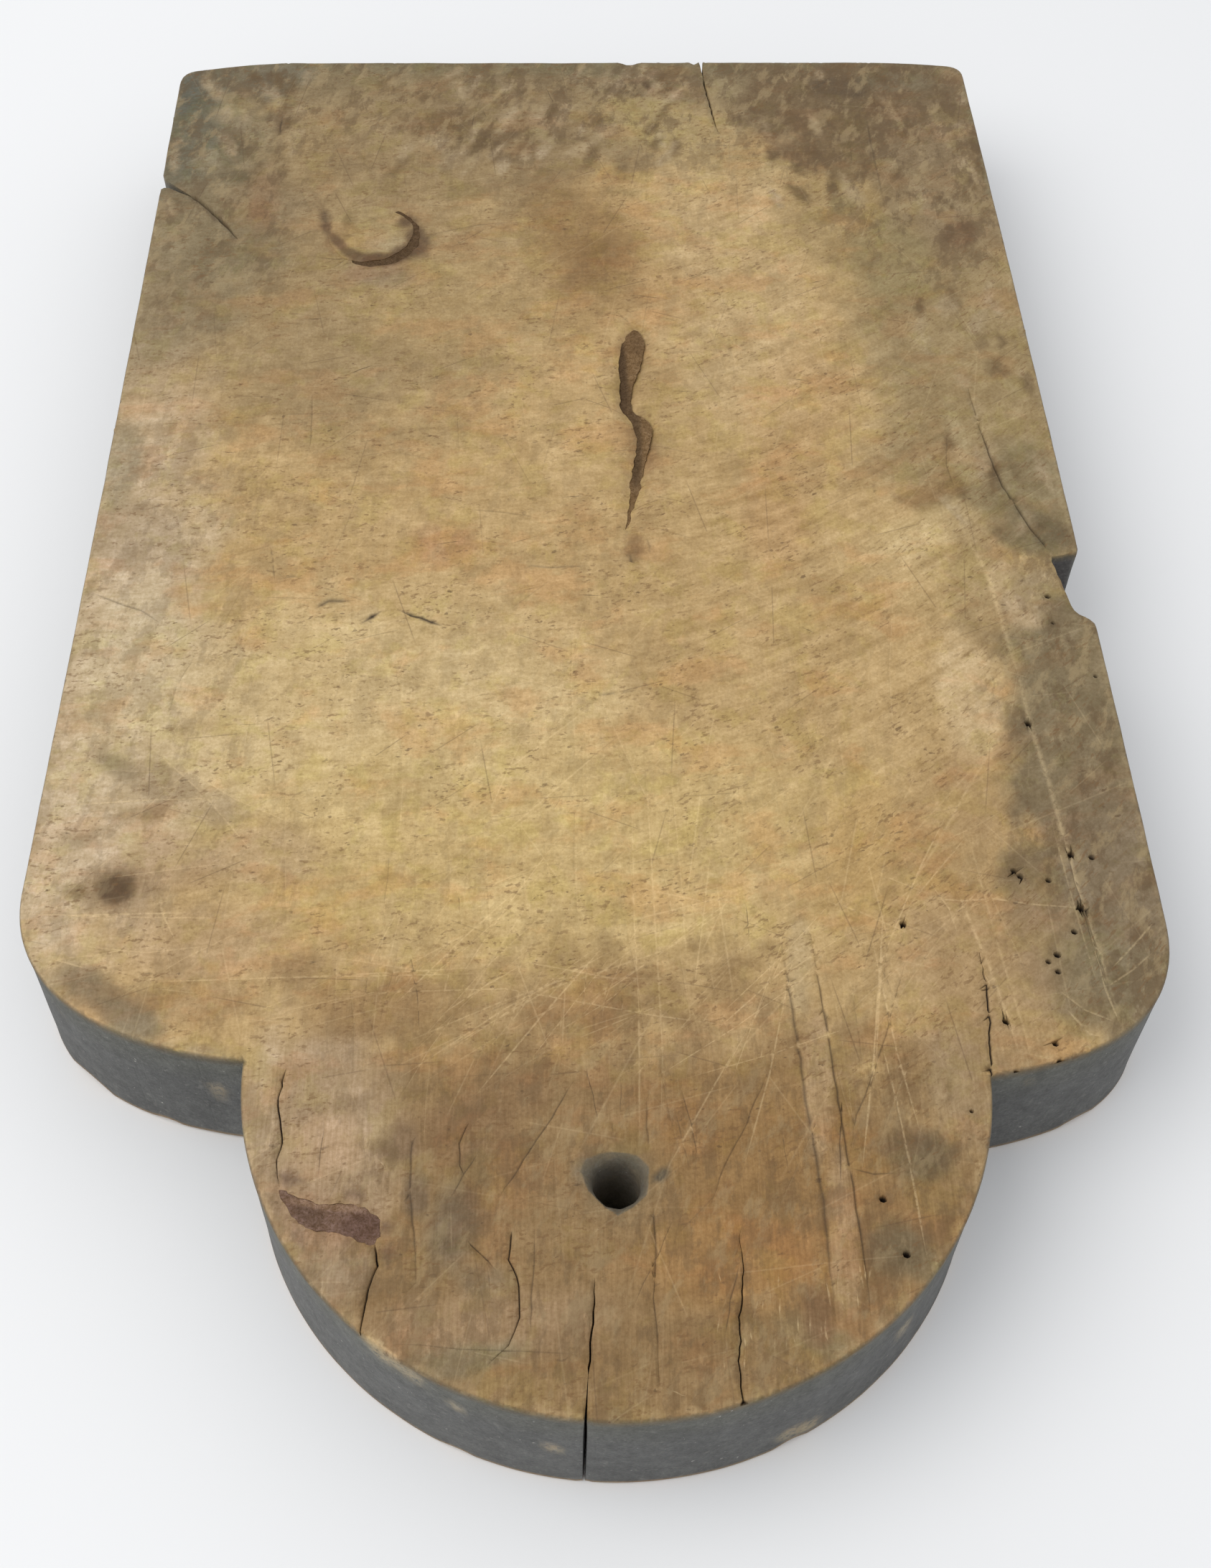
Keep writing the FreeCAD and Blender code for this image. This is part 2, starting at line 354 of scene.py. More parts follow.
# Splits, creases and knife scars: (points, half width, depth, tone), tone 1 for dark, -1 for pale. The dark
# is painted shade in the splits, and dirt with painted shade in the creases.
splits = [
    ([(-3.0, tip_y + 11), (-2.5, -206), (-2.0, -201), (-1.6, -197), (-1.6, -193)], 0.22, 6.0, 1.0),
    ([(27.0, tip_y + 4.2), (26.6, tip_y + 12), (27.3, -205), (27.2, -200), (28.1, -196), (28.7, -189),
      (28.3, -183)], 0.2, 2.0, 0.85),
    ([(-116, 151.3), (-113, 148.5), (-109, 143.5), (-105, 138), (-101.5, 132.5)], 0.75, 6.0, 1.0),
    ([(40.6, far_y - 11), (41.2, 203), (42.2, 194), (43.6, 184)], 0.35, 3.0, 0.85),
    ([(119.8, 9), (117.4, 14), (115.2, 20), (112, 30), (109.8, 42), (108.4, 55), (107.4, 66)],
     0.55, 1.0, 0.36),
    ([(-67.4, -145), (-68.2, -152), (-67.1, -157.1), (-66.5, -160.9), (-67.4, -164.7),
      (-66.5, -171.0)], 0.26, 2.0, 0.8),
    ([(-46.0, -184.6), (-45.2, -188.4), (-46.7, -191.9), (-47.6, -196.6), (-48.0, -202.0),
      (-47.4, -204.4)], 0.28, 3.0, 0.95),
    ([(-18.4, -182.2), (-18.8, -187.4), (-17.2, -191), (-16.6, -195), (-16.6, -199.5), (-18.7, -205.3),
      (-22.0, -208.3)], 0.25, 1.2, 0.62),
    ([(-26.6, -184.1), (-24.4, -186.1), (-21.7, -189.2)], 0.25, 0.5, 0.4),
    ([(-39.3, -161), (-39.4, -170), (-38.6, -179), (-37.8, -186), (-37.4, -192), (-39.0, -194)],
     0.5, 0.5, 0.34),
    ([(-28.2, -158), (-29.5, -161.4), (-29.0, -166.5), (-28.2, -169)], 0.28, 0.5, 0.4),
    ([(10.9, -178.6), (11.0, -186.5), (10.3, -196), (10.7, -205), (10.7, -213.8)], 0.36, 0.5, 0.34),
    ([(85.2, -146.4), (86.2, -135), (86.9, -124), (86.4, -116)], 0.32, 1.2, 0.75),
    ([(-60.4, 122), (-60.0, 125), (-60.9, 128)], 0.3, 1.5, 0.8),
]
creases = [
    ([(-5.3, -147.2), (-10.1, -155.8), (-14.7, -163.4), (-20.8, -173.7)], 0.34, 0.3, 0.38),
    ([(36, -147), (30.2, -159.7), (25.9, -167.3), (23.3, -175)], 0.34, 0.3, 0.34),
    ([(69.1, -119), (62.1, -139.4), (55.1, -155.8), (53.1, -163.0)], 0.36, 0.3, 0.34),
    ([(41.8, -110.5), (43.2, -130), (44.3, -149.7), (46.2, -175.6), (46.4, -201)], 0.8, 0.4, 0.38),
    ([(48.8, -110.6), (50.4, -135), (51.6, -157.2), (53.2, -182.5), (53.6, -199)], 0.5, 0.5, 0.42),
    ([(-57.0, -17.2), (-54.6, -15), (-52.6, -13.4)], 1.4, 0.3, 0.66),
    ([(-48.0, -13.0), (-45, -14.8), (-42, -15.6), (-37.0, -18.2)], 1.3, 0.3, 0.6),
    ([(-69, -12.4), (-66, -9.8), (-59.6, -9.8)], 1.4, 0.2, 0.44),
    ([(-31, 22), (-24, 21.4), (-16, 20), (-13, 19)], 0.6, 0.2, 0.24),
    ([(-16.4, 1), (-14.4, 2.2), (-10, 1.6), (0, 2)], 0.9, 0.25, 0.3),
    ([(0, -43.5), (3, -40.6), (11, -39.4)], 0.9, 0.2, 0.3),
    ([(-126, -7), (-120, -10), (-113, -13), (-108, -17)], 0.6, 0.2, 0.32),
    ([(-82, 8.6), (-80.8, 2), (-80, -3)], 0.5, 0.2, 0.3),
    ([(-79.6, -2.6), (-76, -1.4), (-73, -2)], 1.1, 0.2, 0.3),
    ([(-75, 66), (-74.6, 58), (-74.2, 44)], 0.4, 0.2, 0.26),
    ([(-98, -28), (-101.6, -38), (-102.6, -46)], 0.4, 0.2, 0.22),
    ([(90.6, 192), (91.4, 172), (92.0, 150)], 0.7, 0.2, 0.26),
    ([(-64.5, -96), (-63.8, -92.6)], 0.4, 0.2, 0.4),
    ([(-92.2, 191), (-92.8, 186), (-92.4, 182)], 0.6, 0.3, 0.4),
    ([(-35, 60), (-34.4, 50), (-34, 42)], 0.3, 0.15, 0.18),
    ([(99, 48), (97.6, 38), (98.6, 30)], 0.4, 0.2, 0.25),
    ([(11.2, 6.4), (11.6, 3.6), (12.6, 2.8)], 0.9, 0.3, 0.4),
    ([(15.6, 12), (16.4, 9), (16.0, 6)], 0.8, 0.2, 0.3),
    ([(-50, -203.4), (-44, -204.6), (-36, -205), (-28.4, -205.9), (-18, -206.4), (-6, -207.2)],
     0.3, 0.2, 0.25),
    ([(10.3, -151.7), (10.1, -158), (10.4, -163)], 0.4, 0.3, 0.3),
    ([(-13.6, -181.4), (-13.6, -187.8), (-14.3, -195.5), (-14.3, -203.1)], 0.35, 0.2, 0.35),
    ([(12.3, -169.8), (13.9, -168.2)], 1.2, 0.5, 0.4),
    ([(14.5, 93.4), (12.5, 96.5), (10, 100)], 0.9, 0.3, 0.22),
    ([(-66, 126.6), (-72, 119.5), (-75, 118.4)], 0.5, 0.2, 0.2),
    ([(-45, 133.5), (-40, 135.6), (-30, 138.6), (-20, 140)], 0.6, 0.15, 0.26),
    ([(-77, 123.8), (-72, 123.0), (-67, 123.4)], 0.5, 0.2, 0.3),
    ([(-70.6, 119), (-68.6, 121.0), (-65, 122)], 0.6, 0.2, 0.26),
    ([(52, -168), (57, -169.6), (62, -169.4)], 0.4, 0.2, 0.35),
]
scars = [
    ([(99.3, 11.4), (101.5, 5.4), (103.8, -3.5), (105.0, -17.6), (106.6, -34)], 1.3, 0.15, -0.5),
    ([(106.6, -34), (107.4, -51), (109.3, -68.6), (111.4, -98.9), (113.2, -112.5), (115.0, -131)],
     1.1, 0.2, -0.5),
    ([(108.2, -80), (109.6, -100), (110.6, -112), (111.8, -126)], 0.4, 0.15, -0.4),
    ([(110.0, -84), (111.6, -104), (113.6, -124)], 0.3, 0.2, 0.3),
    ([(88.0, -83.1), (89.9, -103.3), (91.4, -118.0), (93.6, -135), (94.4, -145)], 0.7, 0.15, -0.35),
    ([(83.4, -98.7), (86.2, -111.0), (88.9, -122.4), (91.8, -141.2)], 0.7, 0.2, -0.5),
    ([(76.6, -101.3), (84.9, -102.0), (91.4, -101.5), (100.2, -103.1), (110.9, -104.2)], 0.4, 0.15, -0.55),
    ([(98.1, -56.8), (88.7, -71.8), (80.4, -86.2), (72.4, -98.6)], 0.7, 0.15, -0.4),
    ([(87.1, -84.6), (79.4, -94.0), (71.9, -103.1)], 0.4, 0.15, -0.5),
    ([(52.9, -101.7), (60.3, -104.5), (71.1, -110.6)], 0.4, 0.15, -0.5),
    ([(-30.9, -175.2), (-30.4, -186.2)], 0.3, 0.1, -0.3),
    ([(62.0, -138), (64.2, -157.3), (65.3, -171.7), (66.1, -187)], 0.4, 0.15, -0.7),
    ([(63.2, -146), (65.4, -170)], 0.3, 0.15, -0.4),
    ([(112.4, -111), (113.4, -126), (115.0, -134.4)], 0.45, 0.15, -0.6),
    ([(-100, -121.5), (-60, -120.6), (-20, -120)], 0.35, 0.12, -0.5),
    ([(-120, -104), (-92, -103.5)], 0.4, 0.15, -0.55),
    ([(-122, -115), (-113, -118)], 0.4, 0.15, -0.6),
    ([(-112, -94), (-84, -90)], 0.3, 0.1, -0.4),
    ([(13, -60), (13.6, -100), (14.2, -140), (13.0, -160)], 0.4, 0.12, -0.4),
    ([(9.4, -70), (9.0, -110), (9.4, -132)], 0.3, 0.1, -0.35),
    ([(19, -66), (20, -92), (20.4, -118)], 0.3, 0.1, -0.35),
    ([(-37, 212), (-37.6, 205), (-35.4, 199)], 1.4, 0.15, -0.25),
    ([(-32, 206), (-33, 201)], 1.0, 0.15, -0.2),
    ([(66, 214), (67.6, 209)], 0.8, 0.15, -0.5),
    ([(16, 208), (17.4, 204)], 1.5, 0.12, -0.45),
    ([(38.2, 143.6), (38.6, 141.8)], 0.9, 0.1, -1.6),
    ([(-61.2, -178.4), (-60.7, -178.8)], 0.4, 0.1, -2.0),
    ([(87.2, -122.6), (87.6, -123.8)], 0.5, 0.1, -1.5),
    ([(24.6, -218.0), (25.0, -219.0)], 0.4, 0.1, -1.3),
    ([(57.8, -197), (58.4, -199.4)], 0.35, 0.1, -1.4),
    ([(60.6, -196), (61.0, -198.2)], 0.35, 0.1, -1.4),
    ([(14.0, -215.2), (15.0, -215.8)], 0.6, 0.1, -1.6),
    ([(-45.3, -166.0), (-44.8, -166.7)], 0.35, 0.1, -1.8),
    ([(-45.7, -204.4), (-43.8, -206.0)], 0.5, 0.15, -1.2),
    ([(-43.2, -205.6), (-41.4, -208.0)], 0.5, 0.15, -1.2),
    ([(-41.0, -206.4), (-39.3, -209.6)], 0.5, 0.15, -1.0),
    ([(-92, 60), (-97, 20)], 0.3, 0.1, -0.2),
    ([(8.8, -96), (9.3, -130), (8.4, -166)], 0.4, 0.12, -0.45),
    ([(-44, -147), (-20, -129), (6, -113)], 0.35, 0.12, -0.5),
    ([(-36, -141), (-10, -124), (22, -112)], 0.35, 0.12, -0.45),
    ([(-26, -150), (-12, -131), (2, -113)], 0.35, 0.12, -0.6),
    ([(-60, -125), (-20, -124), (12, -131), (36, -135)], 0.3, 0.12, -0.5),
    ([(14, -168), (24, -150), (36, -130)], 0.35, 0.12, -0.5),
    ([(30, -168), (37, -146), (44, -118)], 0.35, 0.12, -0.5),
    ([(55, -168), (60, -142), (66, -104)], 0.35, 0.12, -0.7),
    ([(68, -160), (65, -140), (62.6, -112)], 0.35, 0.12, -0.6),
    ([(84.6, -76), (76, -92), (64, -118), (60, -146)], 0.35, 0.12, -0.6),
    ([(104, -131), (108, -137), (112.4, -138)], 0.5, 0.15, -0.6),
    ([(103, -126), (108, -131), (114, -134)], 0.4, 0.15, -0.5),
    ([(127.6, -108), (122, -114), (116, -120)], 0.4, 0.15, -0.6),
    ([(126, -116), (120, -121), (114, -125)], 0.4, 0.15, -0.5),
    ([(78, -98), (81, -104), (82, -110)], 0.35, 0.15, -0.7),
    ([(-128, -103.6), (-112, -104.4), (-86, -105)], 0.4, 0.15, -0.6),
    ([(-124, -73.4), (-104, -72.0), (-84, -71.4)], 0.4, 0.15, -0.5),
    ([(-106, -56), (-92, -70), (-78, -88)], 0.4, 0.15, -0.4),
    ([(-98, -62), (-84, -72), (-68, -80)], 0.3, 0.12, -0.4),
    ([(-97, -121.6), (-60, -120.4), (-28, -118.6)], 0.4, 0.15, -0.5),
    ([(-94, -111), (-97.6, -104), (-99, -98)], 0.4, 0.15, -0.5),
    ([(-116, -112), (-100, -114), (-84, -112)], 0.35, 0.15, -0.4),
    ([(98, 206), (99.6, 196), (104, 182)], 1.0, 0.12, -0.22),
]


def slashes(count, x, y, lean, length, tone, seed):
    """Knife scars strewn over the box x by y, leaning about lean degrees from +X."""
    cook = random.Random(seed)
    found = []
    for _ in range(count):
        start = Vector((cook.uniform(*x), cook.uniform(*y)))
        turn = math.radians(cook.gauss(*lean))
        reach = cook.uniform(*length)
        away = heading(turn)
        sag = Vector((-away.y, away.x)) * cook.uniform(-0.03, 0.03) * reach
        line = [start, start + away * reach / 2 + sag, start + away * reach]
        strength = tone * cook.uniform(0.35, 1.0)
        found.append((line, cook.uniform(0.16, 0.34), cook.uniform(0.05, 0.14), strength))
    return found


for strewn in (
    (110, (-50, 85), (-150, -50), (52, 18), (10, 50), -0.36, 1),
    (34, (-50, 40), (-152, -122), (46, 14), (18, 50), -0.6, 21),
    (44, (-70, 60), (-150, -60), (92, 7), (12, 50), -0.34, 2),
    (30, (20, 105), (-60, 60), (38, 12), (10, 40), -0.26, 3),
    (56, (-125, -10), (-135, -20), (4, 26), (8, 40), -0.36, 4),
    (16, (-90, 70), (0, 150), (80, 40), (8, 30), -0.2, 5),
    (30, (-60, 60), (-200, -130), (84, 14), (6, 24), -0.3, 6),
    (40, (20, 62), (-214, -192), (88, 8), (1.5, 5), -0.9, 10),
):
    scars += slashes(*strewn)
for strewn in (
    (60, (-110, 90), (-125, 120), (8, 22), (2, 8), 0.5, 7),
    (26, (-60, 70), (-205, -100), (88, 10), (6, 22), 0.45, 8),
    (14, (-40, 90), (150, 214), (90, 12), (5, 16), 0.4, 9),
):
    creases += slashes(*strewn)
marks = splits + creases + scars

# Beetle holes: (x, y, radius).
beetle_depth = 3.2
beetle_holes = [
    (70, -108, 0.8), (97.3, -93.8, 0.75), (98.6, -95.4, 0.8), (105, -96.6, 0.75), (111.4, -89.3, 0.85),
    (116.1, -90.3, 0.8), (111.3, -104.2, 0.9), (108.8, -110.6, 0.8), (104.0, -116.6, 0.9),
    (101.7, -118.4, 0.7), (103.5, -121, 0.75), (90, -133.5, 0.85), (100.1, -139.2, 0.8),
    (100.6, -143.5, 0.8), (90.6, -146.0, 0.8), (58.6, -175.2, 0.85), (62.2, -187.4, 0.85),
    (79.6, -155.3, 0.5), (107, -50.5, 0.95), (118, -9.5, 0.85), (118, -18.5, 0.55), (126, -36, 0.6),
]


def loop_through(corners, gap):
    """A closed line with softly rounded corners, a point about every gap."""
    count = len(corners)
    points = []
    for i in range(count):
        a, b, c, d = (Vector(corners[(i + k) % count]) for k in (-1, 0, 1, 2))
        steps = max(2, round((c - b).length / gap))
        for step in range(steps):
            t = step / steps
            point = (b * 2 + (c - a) * t + (a * 2 - b * 5 + c * 4 - d) * t * t
                     + (b * 3 - a - c * 3 + d) * t**3) * 0.5
            points.append(point)
    return points


def inset(loop, distance):
    """The counter-clockwise loop moved inwards."""
    moved = []
    for i, point in enumerate(loop):
        step = loop[(i + 1) % len(loop)] - loop[i - 1]
        moved.append(point + Vector((-step.y, step.x)).normalized() * distance)
    return moved


# The pockets in the face: round the knot, in the left of the lobe, and the open seam.
knot_middle = Vector((-62.5, far_y - 86.5))
knot_reach = 12.6
bark_shift = Vector((1.6, -1.4))
bark_reach = 13.6
knot_depth = 6.0
handle_depth = 5.0
seam_depth = 7.0
floor_gap = 0.1  # between a pocket's floor and what fills it
fit = 0.02


def knot_edge(turn):
    """The knot's edge, a little out of round."""
    ragged = noise.noise((math.cos(turn) * 4, math.sin(turn) * 4, 8.0))
    return knot_reach + 0.35 * math.sin(3 * turn + 1.0) + 0.2 * math.sin(5 * turn) + 0.5 * ragged


def knot_bark_edge(turn):
    """The far side of the bark round the knot, as seen from the knot's middle."""
    away = heading(turn)
    along = bark_shift.dot(away)
    reach = along + math.sqrt(bark_reach**2 - bark_shift.length_squared + along * along)
    broad = 0.5 * noise.noise((away.x * 2.2, away.y * 2.2, 4.0))
    return reach + broad + 0.6 * noise.noise((away.x * 7, away.y * 7, 2.0)) - 0.2


def has_bark(turn):
    """Whether the bark is thick enough there to be seen."""
    return knot_bark_edge(turn) > knot_edge(turn) + 0.9


def knot_pocket_edge(turn):
    """The pocket's edge, which grips the knot where there is no bark."""
    bare = knot_edge(turn) - 0.35
    return max(bare, knot_bark_edge(turn) + fit) if has_bark(turn) else bare


def round_loop(middle, edge, count):
    turns = [2 * math.pi * step / count for step in range(count)]
    return [middle + heading(turn) * edge(turn) for turn in turns]


noise.seed_set(5)  # noise_vector is otherwise seeded by the clock


def ragged_loop(loop, size, depth, seed):
    """The loop with its edge broken up by noise."""
    return [p + Vector(noise.noise_vector((p.x / size, p.y / size, seed))[:2]) * depth for p in loop]


knot_pocket = round_loop(knot_middle, knot_pocket_edge, 90)
handle_pocket = ragged_loop(loop_through([
    (-66.4, -171.4), (-64.6, -176.0), (-60.3, -179.8), (-54.6, -181.0), (-50.5, -182.5), (-47.1, -184.0),
    (-45.3, -181.8), (-45.9, -177.6), (-50.4, -175.0), (-56.1, -174.9), (-62.0, -173.1)], 0.9),
    1.5, 0.75, 1.0)
seam_pocket = ragged_loop(loop_through([
    (10.4, 15.6), (12.4, 22.0), (14.2, 29.0), (15.8, 37.0), (17.4, 45.0), (18.5, 52.6), (16.8, 56.2),
    (14.0, 58.6), (12.8, 63.0), (14.2, 71.0), (16.2, 78.0), (17.3, 85.0), (16.6, 90.6), (14.6, 92.4),
    (12.4, 89.6), (10.8, 84.6), (10.1, 76.0), (10.2, 68.0), (10.2, 61.0), (12.2, 57.2), (14.0, 52.0),
    (14.0, 45.0), (12.9, 37.6), (11.8, 30.0), (11.2, 22.0)], 0.9), 1.8, 0.55, 4.0)
pockets = [(knot_pocket, knot_depth), (handle_pocket, handle_depth), (seam_pocket, seam_depth)]

rim = spaced(rim, 1.5)
plain_rim = wobble(plank_rim())
plain_tree = kdtree.KDTree(len(plain_rim))
for index, point in enumerate(plain_rim):
    plain_tree.insert((point.x, point.y, 0), index)
plain_tree.balance()
rim_is_cut = [plain_tree.find((p.x, p.y, 0))[2] > 1.2 for p in rim]
rim_in_chip = [cut and p.x > 100 for cut, p in zip(rim_is_cut, rim)]
top_wear = []
bottom_wear = []
for point, cut in zip(rim, rim_is_cut):
    top_wear.append(0.25 if cut else edge_wear(point, 0.8, top_chips, 3.0))
    bottom_wear.append(0.25 if cut else edge_wear(point, 0.8, bottom_chips, 8.0))
rim_inwards = []
for i in range(len(rim)):
    step = rim[(i + 1) % len(rim)] - rim[i - 1]
    rim_inwards.append(Vector((-step.y, step.x)).normalized())
rim_tree = kdtree.KDTree(len(rim))
for index, point in enumerate(rim):
    rim_tree.insert((point.x, point.y, 0), index)
rim_tree.balance()


def rim_rings(distances):
    """Loose points on rings inside the rim, so that its worn edge is round."""
    rings = []
    for distance in distances:
        for point, inwards, cut in zip(rim, rim_inwards, rim_is_cut):
            moved = point + inwards * distance
            if not cut and rim_tree.find((moved.x, moved.y, 0))[2] > distance * 0.9:
                rings.append(moved)
    return rings


clear_of_rim = 1.7
clear_of_hole = 8.6  # from its middle


def kept_on_face(line):
    """The runs of the line that stay on the open face, clear of the rim and the hole."""
    runs = [[]]
    within = inside([(p.x, p.y) for p in line], rim)
    for point, is_in in zip(line, within):
        clear = is_in and rim_tree.find((point.x, point.y, 0))[2] > clear_of_rim
        if clear and (point - hole_middle).length > clear_of_hole:
            runs[-1].append(point)
        elif runs[-1]:
            runs.append([])
    return [run for run in runs if len(run) > 1]


def up_to_rim(line):
    """The line less its points past the rim, so that no edge of the face crosses into the side wall."""
    within = inside([(p.x, p.y) for p in line], rim)
    return [p for p, is_in in zip(line, within) if is_in or rim_tree.find((p.x, p.y, 0))[2] < 0.01]


mark_lines = []
mark_points = []
mark_links = []
mark_values = {"half_width": [], "depth": [], "tone": []}
for number, (points, half_width, depth, tone) in enumerate(marks):
    line = spaced([Vector(p) for p in points], 1.3 if tone > 0.7 else 2.6, closed=False)
    if tone > 0:
        shake = [noise.noise_vector((p.x / 1.8, p.y / 1.8, 5.0)) * 0.34 for p in line]
        line = line[:1] + [p + Vector((by.x, by.y * 0.3)) for p, by in zip(line[1:], shake[1:])]
    for run in [line] if number < len(splits) else kept_on_face(line):
        length = len(run) - 1
        sides = ([], [])
        for i, point in enumerate(run):
            fade = min(1.0, 0.35 + 4.0 * min(i, length - i) / length)
            if number < len(splits):
                fade = min(1.0, 0.3 + 2.0 * (length - i) / length)
            step = (run[min(i + 1, length)] - run[max(i - 1, 0)]).normalized()
            across = Vector((-step.y, step.x)) * half_width * fade
            sides[0].append(point + across)
            sides[1].append(point - across)
            if i:
                mark_links.append((len(mark_points) - 1, len(mark_points)))
            mark_points.append((point.x, point.y))
            mark_values["half_width"].append(half_width * fade * MM)
            mark_values["depth"].append(depth * fade * MM)
            mark_values["tone"].append(tone * fade)
        mark_lines += [up_to_rim(run), up_to_rim(sides[0]), up_to_rim(sides[1])]

hole_rings = []
hole_spread = 1.1  # a beetle hole with its broken lip, in times its own size
for x, y, radius in beetle_holes:
    for share in (1.0, 0.86):
        turns = [math.pi * step / 4 for step in range(8)]
        reach = radius * hole_spread * share
        hole_rings.append([Vector((x + reach * math.cos(t), y + reach * math.sin(t))) for t in turns])
    hole_rings.append([Vector((x, y)), Vector((x + 0.1, y))])

solid_lines = mark_lines + [up_to_rim(spaced(ring, 0.7)) for ring in hole_rings]
solid_lines = [line for line in solid_lines if len(line) > 1]
for loop, depth in pockets:
    solid_lines += [loop + loop[:1], inset(loop, 0.05) + inset(loop, 0.05)[:1]]
face_grain = ground((-side_x, side_x), (tip_y, far_y), 1.9, 11)
face_grain = [p for p, is_in in zip(face_grain, inside(face_grain, rim)) if is_in]
dense_lines = [spaced(line, 0.8, closed=False) for line in solid_lines]
face_grain = clear_of(face_grain, dense_lines + [rim, spaced(top_mouth, 0.8)], 0.75)
loose = face_grain + clear_of(rim_rings((0.25, 0.55, 1.0, 1.6)), dense_lines, 0.3)
top_flat, top_faces, (top_rim, top_hole) = triangulated([rim, top_mouth], solid_lines, loose, [top_mouth])

under_grain = ground((-side_x, side_x), (tip_y, far_y), 5.0, 12)
under_grain = [p for p, is_in in zip(under_grain, inside(under_grain, rim)) if is_in]
under_grain = clear_of(under_grain, [rim, bottom_mouth], 2.0)
loose = under_grain + rim_rings((0.4, 0.9, 1.6))
under_flat, under_faces, (under_rim, under_hole) = triangulated(
    [rim, bottom_mouth], [], loose, [bottom_mouth])


def worn_drop(flat, wear):
    """How far the rounded edge lies below the face at each point."""
    drop = np.zeros(len(flat))
    for i, (x, y) in enumerate(flat):
        _, nearest, away = rim_tree.find((x, y, 0))
        radius = wear[nearest]
        if away < radius:
            drop[i] = radius - math.sqrt(max(0.0, radius * radius - (radius - away) ** 2))
    return drop


def swell(flat, size, seed):
    """Smooth noise from 0 to 1 at each point."""
    return np.array([noise.noise((x / size, y / size, seed)) * 0.5 + 0.5 for x, y in flat])


def face_height(flat):
    """The height of the dished and rippled face at each point, before its edges are worn."""
    hollow = 0.55 * np.exp(-((flat[:, 0] / 75) ** 2) - ((flat[:, 1] + 40) / 110) ** 2)
    ripple = 0.14 * swell(flat, 55, 1.0) + 0.10 * swell(flat, 14, 2.0) + 0.05 * swell(flat, 4, 3.0)
    return thickness - hollow - ripple


top_x, top_y = top_flat[:, 0], top_flat[:, 1]
top_z = face_height(top_flat) - worn_drop(top_flat, top_wear)
mouth_away = np.hypot(top_x - hole_middle.x, top_y - hole_middle.y)
top_z -= 0.45 * np.clip(1 - (mouth_away - 7.6) / 4.0, 0, 1) ** 2
lip_reach = 3.5  # how far from a pocket the face starts to sink towards it
for (loop, depth), lip in zip(pockets, (0.06, 0.3, 1.0)):
    lip_tree = kdtree.KDTree(len(loop))
    for index, point in enumerate(loop):
        lip_tree.insert((point.x, point.y, 0), index)
    lip_tree.balance()
    box = np.array([(p.x, p.y) for p in loop])
    near = np.all((top_flat > box.min(0) - 4) & (top_flat < box.max(0) + 4), axis=1)
    within = inside(top_flat, inset(loop, 0.01))
    for i in np.nonzero(near)[0]:
        away = lip_tree.find((top_x[i], top_y[i], 0))[2]
        if within[i]:
            top_z[i] = thickness - depth
        elif away < lip_reach:
            top_z[i] -= lip * (1 - away / lip_reach) ** 2
under_z = worn_drop(under_flat, bottom_wear) + 0.15 * swell(under_flat, 40, 6.0)
under_z -= under_z.min()

verts = [(x, y, z) for (x, y), z in zip(top_flat, top_z)]
verts += [(x, y, z) for (x, y), z in zip(under_flat, under_z)]
faces = [tuple(face) for face in top_faces]
faces += [tuple(int(i) + len(top_flat) for i in face[::-1]) for face in under_faces]
under_rim = [i + len(top_flat) for i in under_rim]
under_hole = [i + len(top_flat) for i in under_hole]
is_top = [1.0] * len(top_flat) + [0.0] * len(under_flat)
on_side = [0.0] * len(verts)
side_start = len(verts)


def strips(rows, outwards):
    """Closed bands of faces from row to row of vertex indices."""
    for upper, lower in zip(rows, rows[1:]):
        for i in range(len(upper)):
            k = (i + 1) % len(upper)
            quad = (upper[i], lower[i], lower[k], upper[k])
            faces.append(quad if outwards else quad[::-1])


side_shares = (0.03, 0.08, 0.16, 0.27, 0.38, 0.5, 0.62, 0.73, 0.84, 0.92, 0.97)
rows = [top_rim]
for share in side_shares:
    row = []
    for i, point in enumerate(rim):
        z = verts[top_rim[i]][2] * (1 - share) + verts[under_rim[i]][2] * share
        depth = 0.0
        if rim_in_chip[i]:
            depth = 0.9 * noise.noise((point.x / 2.5, point.y / 2.5, z / 6.0))
        elif not rim_is_cut[i]:
            depth = 0.22 * (noise.noise((point.x / 16, point.y / 16, z / 22)) * 0.5 + 0.5)
            depth += 0.10 * (noise.noise((point.x / 3, point.y / 3, z / 12)) * 0.5 + 0.5)
        depth *= min(1.0, 8 * share, 8 * (1 - share))
        moved = point + rim_inwards[i] * depth
        row.append(len(verts))
        verts.append((moved.x, moved.y, z))
    rows.append(row)
rows.append(under_rim)
strips(rows, True)
side_stop = len(verts)

bore_radius = 4.9
bore = hole_ring(lambda degrees: bore_radius)
rows = [top_hole]
# The mouth narrows to the bore in these steps: (depth below the face, share of the mouth's width left).
chamfer = ((0.8, 0.82), (1.2, 0.60), (1.7, 0.36), (2.6, 0.14), (4.4, 0.03))
levels = [(thickness - down, share) for down, share in chamfer]
levels += [(z, 0.0) for z in (31.0, 27.0, 19.0, 11.0, 5.0, 2.0)]
for z, share in levels:
    row = []
    for outer, inner in zip(top_mouth, bore):
        point = inner.lerp(outer, share)
        away = (point - hole_middle).normalized()
        point = point + away * 0.25 * noise.noise((point.x / 2.0, point.y / 2.0, z / 3.0))
        row.append(len(verts))
        verts.append((point.x, point.y, z))
    rows.append(row)
rows.append(under_hole)
strips(rows, False)
hole_stop = len(verts)
is_top += [0.0] * (hole_stop - len(is_top))


